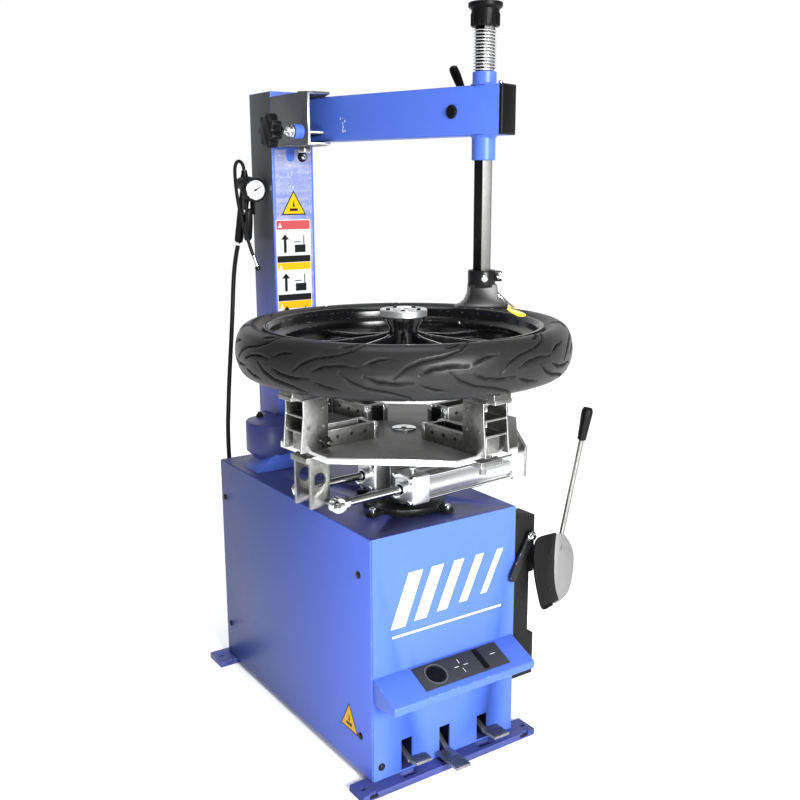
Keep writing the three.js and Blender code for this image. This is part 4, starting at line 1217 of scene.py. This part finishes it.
pin.hexRod((-5, 600, 1514.4), (-5, 600, 1525), 17, "zinc", 1.4)
pin.hexRod((-5, 600, 1377), (-5, 600, 1390.7), 17, "zinc", 1.4)
pin.done("pivotPin", "cabinet", "bright_steel", ("pivot_pin",))
lock = Build(machinePlace)
lock.rod((22, 664.6, 1368), (22, 655, 1368), 13, "rubber", 40, 11, 1.5)
lock.rod((22, 656, 1368), (22, 648, 1368), 7.5, "bright", 32, 5.5, 1.5)
lock.done("columnBolt", "cabinet", "bright_steel")
print("bracket made")

# Swing arm

arm = Build(armPlace)
swingArm = {"half": 28, "low": 1400, "high": 1505, "corner": 6, "length": (-36, 596)}
outline = []
for k in range(28):  # seven points round each corner
    quadrant, step = divmod(k, 7)
    a = radians(90 * quadrant + 15 * step)
    x = (swingArm["half"] - swingArm["corner"]) * (1 if quadrant in (0, 3) else -1)
    z = swingArm["high"] - swingArm["corner"] if quadrant < 2 else swingArm["low"] + swingArm["corner"]
    outline.append((x + swingArm["corner"] * cos(a), z + swingArm["corner"] * sin(a)))
arm.plate("x", outline, *swingArm["length"], "blue", 0.8)
sleeveAt = move(armLength, 0, 0)
arm.turned([
    (22.6, 1348), (24.6, 1348), (26, 1349.4), (26, 1531.6), (24.6, 1533), (22.6, 1533),
], "blue", 96, sleeveAt, ring=True)
arm.turned([(26, 1505), (31, 1505), (26, 1510)], "blue", 96, sleeveAt, ring=True)
arm.turned([(26, 1395), (26, 1400), (31, 1400)], "blue", 96, sleeveAt, ring=True)
arm.done("swingArm", "arm", "blue_paint", ("swing_arm",))
armCap = Build(armPlace)
armCap.block((596.3, 605), (-28, 28), (1400, 1505), "plastic", 3.2, None, 3)
armCap.done("armEndCap", "arm", "black_plastic", ("arm_end_cap",))
fasteners("armTopScrew", "arm", armPlace, [((578, 6, 1505), (0, 0, 1))], "bright", 20, 5, 8, 6)
chipped = {"count": 9, "at": (158, 1437), "spread": (11, 16), "radius": (0.8, 2.2), "tall": 2.2}
chips = Build(armPlace)
random.seed(7)
for chip in range(chipped["count"]):
    x, z = (middle + random.uniform(-far, far) for middle, far in zip(chipped["at"], chipped["spread"]))
    r = random.uniform(*chipped["radius"])
    ring = []
    for a in (pi * k / 4 for k in range(8)):
        across = r * random.uniform(0.5, 1.1)
        ring.append((x + across * cos(a), z + chipped["tall"] * r * random.uniform(0.5, 1.1) * sin(a)))
    chips.plate("y", ring, -28.25, -27.9, "white", 0)
chips.done("armPaintChips", "arm", "blue_paint")

clampLever = {
    "x": 475, "z": 1452, "screw": 7.4, "radii": [7, 8, 9, 11, 10.4, 6.5],
    "grip": [
        (472, 44, 1456), (466, 46, 1470), (446, 50, 1506), (430, 52.5, 1535), (420, 53.8, 1552),
        (417.4, 54.2, 1557),
    ],
}
x, z = clampLever["x"], clampLever["z"]
lever = Build(armPlace)
lever.rod((x, -28.4, z), (x, -33, z), 15, "plastic", 48, 12.5, 1.6)
lever.rod((x, -30, z), (x, 34, z), clampLever["screw"], "darkMetal", 32)
lever.rod((x, 28.4, z), (x, 50, z), 14, "plastic", 48, None, 2)
lever.sweep(clampLever["grip"], clampLever["radii"], "plastic", 10, 4)
lever.done("clampLever", "clamp_lever", "black_plastic", ("clamp_lever",))

coil = coilRecipe("returnSpring", "bright")
coilSizes = {
    "Turns": 13.0, "Coil Radius": 23.4, "Height": 86.6, "Wire Radius": 1.85, "Lift": (0.0, 0.0, 1535.2),
}
coilMesh = coil.make("returnSpring", postPlace, coilSizes)
coilMesh.shade_smooth()
spring = placed("returnSpring", coilMesh)
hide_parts("return_spring")
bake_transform(spring)
print("arm made")

# Tool post

post = {"flats": 38, "height": (1076, 1655), "brightened": (0.87, -0.5, 0)}  # the flat facing this way takes satin steel as a painted highlight; the dark steel of the other flats is painted shade
shaft = Build(postPlace)
shaft.plate("z", polygon(post["flats"] / sqrt(3), 6), *post["height"], "darkMetal", 1.0)
for wall in shaft.whole.faces:
    if wall.normal.dot(Vector(post["brightened"])) > 0.98:
        wall.material_index = 1
shaft.finishes.append("satin")
shaft.done("hexShaft", "tool_post", "worn_steel", ("hex_shaft",))
postCap = {
    "flutes": 16, "flute": (2.4, 5.2, 24.0),
    "profile": [
        (22.4, 1624.3), (29, 1624.3), (30, 1626), (30.2, 1659), (36, 1663.5), (37, 1665), (37, 1671.5),
        (35.5, 1673), (31, 1673), (29.5, 1671.4), (0, 1671.4), (0, 1657), (22.4, 1657),
    ],
}
cap = Build(postPlace)
cap.turned(postCap["profile"], "plastic", 96)
cap.done("postCap", "tool_post", "black_plastic", ("post_cap",))
flutes = ringRecipe("capFlutes", "plastic")
fluteSizes = {
    "Count": postCap["flutes"], "Radius": 30.4, "Lift": (0.0, 0.0, 1638.5), "Size": postCap["flute"],
}
repeated(flutes, "capFlutes", "tool_post", postPlace, fluteSizes)

mountHead = {
    "thick": (-23.5, 23.5), "finger": [5, 6.5, 6.5, 5.5, 4, 2],
    "fingerPath": [
        (24, 0, 1064), (34, 0, 1055), (48, 0, 1042), (60, 0, 1031.6), (70, 0, 1026), (76, 0, 1023.6),
    ],
    "outline": [
        (-59, 1026.5), (-20, 1024.4), (56, 1022.6), (56, 1030), (56, 1037), (48, 1043), (34, 1054.5),
        (31, 1079), (-28, 1079), (-30, 1056), (-37, 1041), (-46, 1034), (-59, 1030),
    ],
}
mount = Build(headPlace)
mount.plate("y", mountHead["outline"], *mountHead["thick"], "black", 5)
mount.turned([
    (22.4, 1072), (30, 1072), (31, 1074), (31, 1107), (29.5, 1109.5), (22.4, 1109.5),
], "black", 72, None, ring=True)
mount.block((22, 45), (-11.5, 11.5), (1084, 1107), "black", 3)
mount.rod((38, -14, 1096), (38, 14, 1096), 6, "bright", 32)
for near, far in ((-20, -11.6), (11.6, 18)):
    mount.hexRod((38, near, 1096), (38, far, 1096), 8.6, "bright", 1)
mount.rod((0, -35.5, 1092), (0, -28, 1092), 7.5, "bright", 32, None, 1)
mount.sweep(mountHead["fingerPath"], mountHead["finger"], "bright", 16, 5)
mount.done("mountHead", "tool_post", "black_paint", ("mount_head",))
toolInsert = {
    "thick": (-13.5, 13.5),
    "outline": [
        (56.4, 1021), (66, 1013.5), (82, 1004.5), (94, 1003), (100, 1005), (101, 1007.4), (98, 1010.8),
        (86, 1015.2), (74, 1018.6), (66, 1021.8), (56.4, 1025),
    ],
}
insert = Build(headPlace)
insert.plate("y", toolInsert["outline"], *toolInsert["thick"], "yellow", 2.6)
insert.done("toolInsert", "tool_post", "yellow_plastic", ("tool_insert",))
print("tool post made")

# Bead breaker

copied("wheelPads", machinePlace, "side_pad", "rubber", "cabinet", "black_rubber", 4, 3)
copied("hingeBracket", machinePlace, "breaker_hinge_bracket", "black", "cabinet", "black_paint", 1.2)
copied("breakerCylinder", machinePlace, "breaker_cylinder", "alloy", "cabinet", "cast_aluminium", 1.2)
ram = Build(machinePlace)
ram.rod((40, 520, 410), (270.8, 520, 410), 12, "bright", 48, None, 1.5)
ram.rod((262, 520, 410), (271, 520, 410), 14, "bright", 48, None, 1.2)
ram.done("breakerRod", "breaker_rod", "bright_steel", ("breaker_rod",))
copied("breakerArm", machinePlace, "breaker_arm", "black", "breaker_arm", "black_paint", 2.2, 3)


def curve(points, steps):  # a smooth outline
    return [(v.x, v.y) for v in pathThrough([(*point, 0) for point in points], steps)]


breakerBlade = {
    "thick": (-24, -20.2), "handle": 6,
    "edge": [
        (301, 309), (322, 306.5), (352, 324), (363, 349), (368.6, 382), (368, 420), (356, 450), (338, 474),
        (326, 483.6),
    ],
}
blade = Build(machinePlace)
bladeEdge = [*curve(breakerBlade["edge"], 5), (300.5, 481)]
blade.plate("y", bladeEdge, *breakerBlade["thick"], "blade", 0.7, None, 50)
blade.block((286, 298), (-20, 18), (396, 424), "black", 1.5)
blade.block((288, 306), (-24, -16), (398, 422), "black", 1)
blade.rod((325, -17.5, 452), (383, -20, 702.5), breakerBlade["handle"], "zinc", 36, None, 1)
blade.rod((322.5, -17, 441), (326, -17.6, 456), 8.2, "satin", 32, 6.4, 1.5)
blade.done("bladePlate", "blade", "zinc_steel", ("breaker_blade",))
bladeGuard = {
    "thick": (-30.8, -24.4), "lip": 2.6,
    "outer": [
        (303, 490), (280, 490.5), (258, 490), (246, 487), (239, 480), (234.5, 460), (234, 436), (238, 400),
        (248, 357), (258, 322), (263, 310), (271, 306.2), (290, 309.6), (317.5, 316),
    ],
    "inner": [(317.5, 316), (307, 345), (300.6, 380), (298.6, 420), (300, 460), (303, 490)],
}
guard = Build(machinePlace)
outerEdge, innerEdge = curve(bladeGuard["outer"], 4), curve(bladeGuard["inner"], 5)
guard.plate("y", [*outerEdge, *innerEdge[1:-1]], *bladeGuard["thick"], "plastic", 1.6, None, 50)
guard.sweep([(x, -31.2, z) for x, z in outerEdge[6:-3]], bladeGuard["lip"], "plastic", 10, 1)
guard.done("bladeGuard", "blade", "black_plastic", ("blade_guard",))
rivetSpots = [((285, -30.8, z), (0, -1, 0)) for z in (352, 446)]
fasteners("guardRivets", "blade", machinePlace, rivetSpots, "darkMetal", 20, 3.4, 1.8, 3.8)
gripStart, gripEnd = Vector((383, -20, 703)), Vector((401, -20, 780.6))
handle = Build(machinePlace)
handle.turned([
    (0, 0), (9, 0), (10.6, 3), (11, 10), (12.6, 44), (13.8, 62), (13.4, 72), (9.6, 79.4), (0, 79.6),
], "plastic", 10, alongLine(gripStart, gripEnd), edge=0.8)
handle.done("bladeGrip", "blade", "black_plastic", ("handle_grip",), 20)

latch = Build(machinePlace)
pivot, tip = Vector((241, -9, 489)), Vector((184, -9, 392))
strapAngle = -atan2(tip.z - pivot.z, tip.x - pivot.x)
strapTurn = Matrix.Translation(pivot) @ Matrix.Rotation(strapAngle, 4, "Y")
reach = (tip - pivot).length
latch.plate("y", [
    *[(13 * cos(a), 13 * sin(a)) for a in (radians(60 + 20 * k) for k in range(13))],
    (reach - 8, -11), (reach + 4, -5), (reach + 4, 8), (reach - 8, 11), (10, 11),
], -4, 4, "black", 1.4, strapTurn, 40)
x, z = pivot.x, pivot.z
latch.hexRod((x, -20, z), (x, -13, z), 9.4, "bright", 1.4)
latch.rod((x, -21.5, z), (x, -3, z), 5, "bright", 28)
latch.rod((x, -13.6, z), (x, -12.6, z), 12, "bright", 40, None, 0.3)
latch.done("latchStrap", "latch_lever", "black_paint", ("latch_lever",))
print("bead breaker made")

# Tyre inflator

gun = Build(machinePlace)
gun.sweep([(-100, 722, 1302), (-100, 738, 1303), (-100, 762, 1303), (-100, 784, 1301), (-100, 790, 1299)],
    [16, 17, 17, 14.5, 9], "plastic", 28, 5)
gun.sweep([(-100, 758, 1300), (-100, 756, 1316), (-100.4, 755.2, 1328), (-101, 755, 1335.4)],
    [12, 10.5, 8, 7], "plastic", 24, 5)
gun.sweep([
    (-100, 752, 1292), (-100, 762, 1262), (-100, 775, 1230), (-100, 790, 1192), (-100, 800, 1166),
    (-100, 806, 1150.4),
], [13, 13.5, 13.5, 12.5, 12, 11], "plastic", 24, 6)
gun.rod((-100, 806, 1150.6), (-100, 810.6, 1141), 9.5, "bright", 32, 7.5, 1)
gun.block((-100, -65.4), (744, 764), (1292, 1312), "black", 2)
for face in (-11, 11):
    gun.block((-102 + face, -98 + face), (724, 748), (1222, 1296), "plastic", 1.2)
gun.rod((-114.5, 734, 1232), (-85.5, 734, 1232), 4, "bright", 24)
gun.done("gunBody", "cabinet", "black_plastic", ("gun_body",))

dialFace = {"needle": 28, "marks": 40, "marksRadius": 20.0, "mark": (3.2, 0.7, 0.3)}
gauge = Build(machinePlace)
gaugeTurn = move(-100, 721.6, 1285) @ turnBy(90, "X")
gauge.turned([
    (0, 0), (24, 0), (28, 3), (28.6, 6), (28.6, 26), (30, 28.5), (30.6, 30.5), (30, 32.6), (27.6, 33.4),
    (26, 32), (26, 29), (0, 29),
], "rubber", 96, gaugeTurn)
gauge.turned([(25.9, 28.8), (26, 31), (24.2, 31.6), (23.6, 29.4)], "bright", 96, gaugeTurn, ring=True)
gauge.turned([(0, 28.9), (24, 28.9), (24, 29.5), (0, 29.5)], "white", 96, gaugeTurn)
gauge.turned([(0, 29.4), (3, 29.4), (2.4, 31.2), (0, 31.4)], "darkMetal", 32, gaugeTurn)
gauge.plate("z", [
    (-7, -1.4), (-7, 1.4), (0, 1.6), (18.5, 0.7), (18.5, -0.7), (0, -1.6),
], 30, 30.6, "ink", 0, gaugeTurn @ turnBy(dialFace["needle"]))
gauge.done("gaugeCase", "cabinet", "black_rubber", ("gauge_case",))
boot = ringRecipe("gaugeRibs", "rubber")
bootSizes = {"Count": 30, "Radius": 28.9, "Lift": (0.0, 0.0, 16.0), "Size": (2.2, 2.6, 19.0)}
repeated(boot, "gaugeRibs", "cabinet", machinePlace @ gaugeTurn, bootSizes)
scale = ringRecipe("gaugeScale", "ink")
scaleSizes = {
    "Count": dialFace["marks"], "Radius": dialFace["marksRadius"], "Lift": (0.0, 0.0, 29.6),
    "Size": dialFace["mark"],
}
repeated(scale, "gaugeScale", "cabinet", machinePlace @ gaugeTurn, scaleSizes)
trigger = Build(machinePlace)
trigger.plate("x", [
    (728, 1236), (740, 1236), (744, 1204), (758, 1162), (754, 1155), (748, 1153.5), (738, 1160), (730, 1200),
], -108, -92, "plastic", 2.4)
trigger.rod((-108, 734, 1232), (-92, 734, 1232), 6, "plastic", 28)
trigger.done("gunTrigger", "gun_trigger", "black_plastic", ("gun_trigger",))
airFitting = {"x": -152, "z": 404, "elbow": 796, "flange": 12, "nuts": (13, 11.5)}
x, z, elbow = airFitting["x"], airFitting["z"], airFitting["elbow"]
fitting = Build(machinePlace)
fitting.rod((x, 761.4, z), (x, 772, z), airFitting["flange"], "bright", 36)
fitting.hexRod((x, 772, z), (x, 782, z), airFitting["nuts"][0], "bright", 1)
fitting.rod((x, 780, z), (x, 804, z), 9, "bright", 36)
fitting.rod((x, elbow, z - 2), (x, elbow, 431.8), 8.6, "bright", 36)
fitting.hexRod((x, elbow, 412), (x, elbow, 424), airFitting["nuts"][1], "bright", 1)
fitting.done("airFitting", "cabinet", "zinc_steel", ("air_fitting",))
print("inflator made")

# Floor and light

floorMesh = bpy.data.meshes.new("floor")
halfFloor = 30
floorMesh.from_pydata([
    (x * halfFloor, y * halfFloor, floorHeight) for x, y in ((-1, -1), (1, -1), (1, 1), (-1, 1))
], [], [(0, 1, 2, 3)])
floor = placed("floor", floorMesh)
floorLook = Look("paleFloor", {"Roughness": 0.6})
floorLook.feed("Base Color", floorLook.blend(floorLook.noise(2, 2), grey(0.975), grey(0.99)))
floorMesh.materials.append(floorLook.material)

studio = {"backdrop": 1.0, "room": 0.26, "from": 0.25, "to": 0.75, "sun": 2.2, "sunAngle": 0.7}
world = bpy.data.worlds.new("studio")  # a white backdrop in a dim room
bpy.context.scene.world = world
world.use_nodes = True
air = world.node_tree
direction = addNode(air, "ShaderNodeTexCoord")
sockets = {0: direction.outputs["Object"], 1: view["ahead"]}
toward = addNode(air, "ShaderNodeVectorMath", {"operation": "DOT_PRODUCT"}, sockets)
spreadOut = addNode(air, "ShaderNodeMapRange", {"interpolation_type": "SMOOTHSTEP"}, {
    0: toward.outputs["Value"], 1: studio["from"], 2: studio["to"], 3: studio["room"], 4: studio["backdrop"],
})
air.links.new(spreadOut.outputs[0], air.nodes["Background"].inputs["Strength"])
air.nodes["Background"].inputs["Color"].default_value = (1, 1, 1, 1)

lamps = {
    "key": {"place": (-0.3, -4.5, 2.0), "aim": (0, 0, 0.6), "size": 1.6, "power": 480},
    "corner": {"place": (-1.0, -1.3, 0.5), "aim": (-0.2, -0.2, 0.3), "size": 0.6, "power": 12},
}
sun = bpy.data.lights.new("overhead", "SUN")
sun.energy = studio["sun"]
sun.angle = studio["sunAngle"]
placed("overhead", sun)
for lampName, lamp in lamps.items():
    data = bpy.data.lights.new(lampName, "AREA")
    data.shape = "DISK"
    data.size = lamp["size"]
    data.energy = lamp["power"]
    light = placed(lampName, data)
    light.location = lamp["place"]
    light.rotation_mode = "QUATERNION"
    light.rotation_quaternion = (Vector(lamp["aim"]) - Vector(lamp["place"])).to_track_quat("-Z", "Y")
bpy.context.scene.view_settings.view_transform = "Standard"
print("floor and light made")
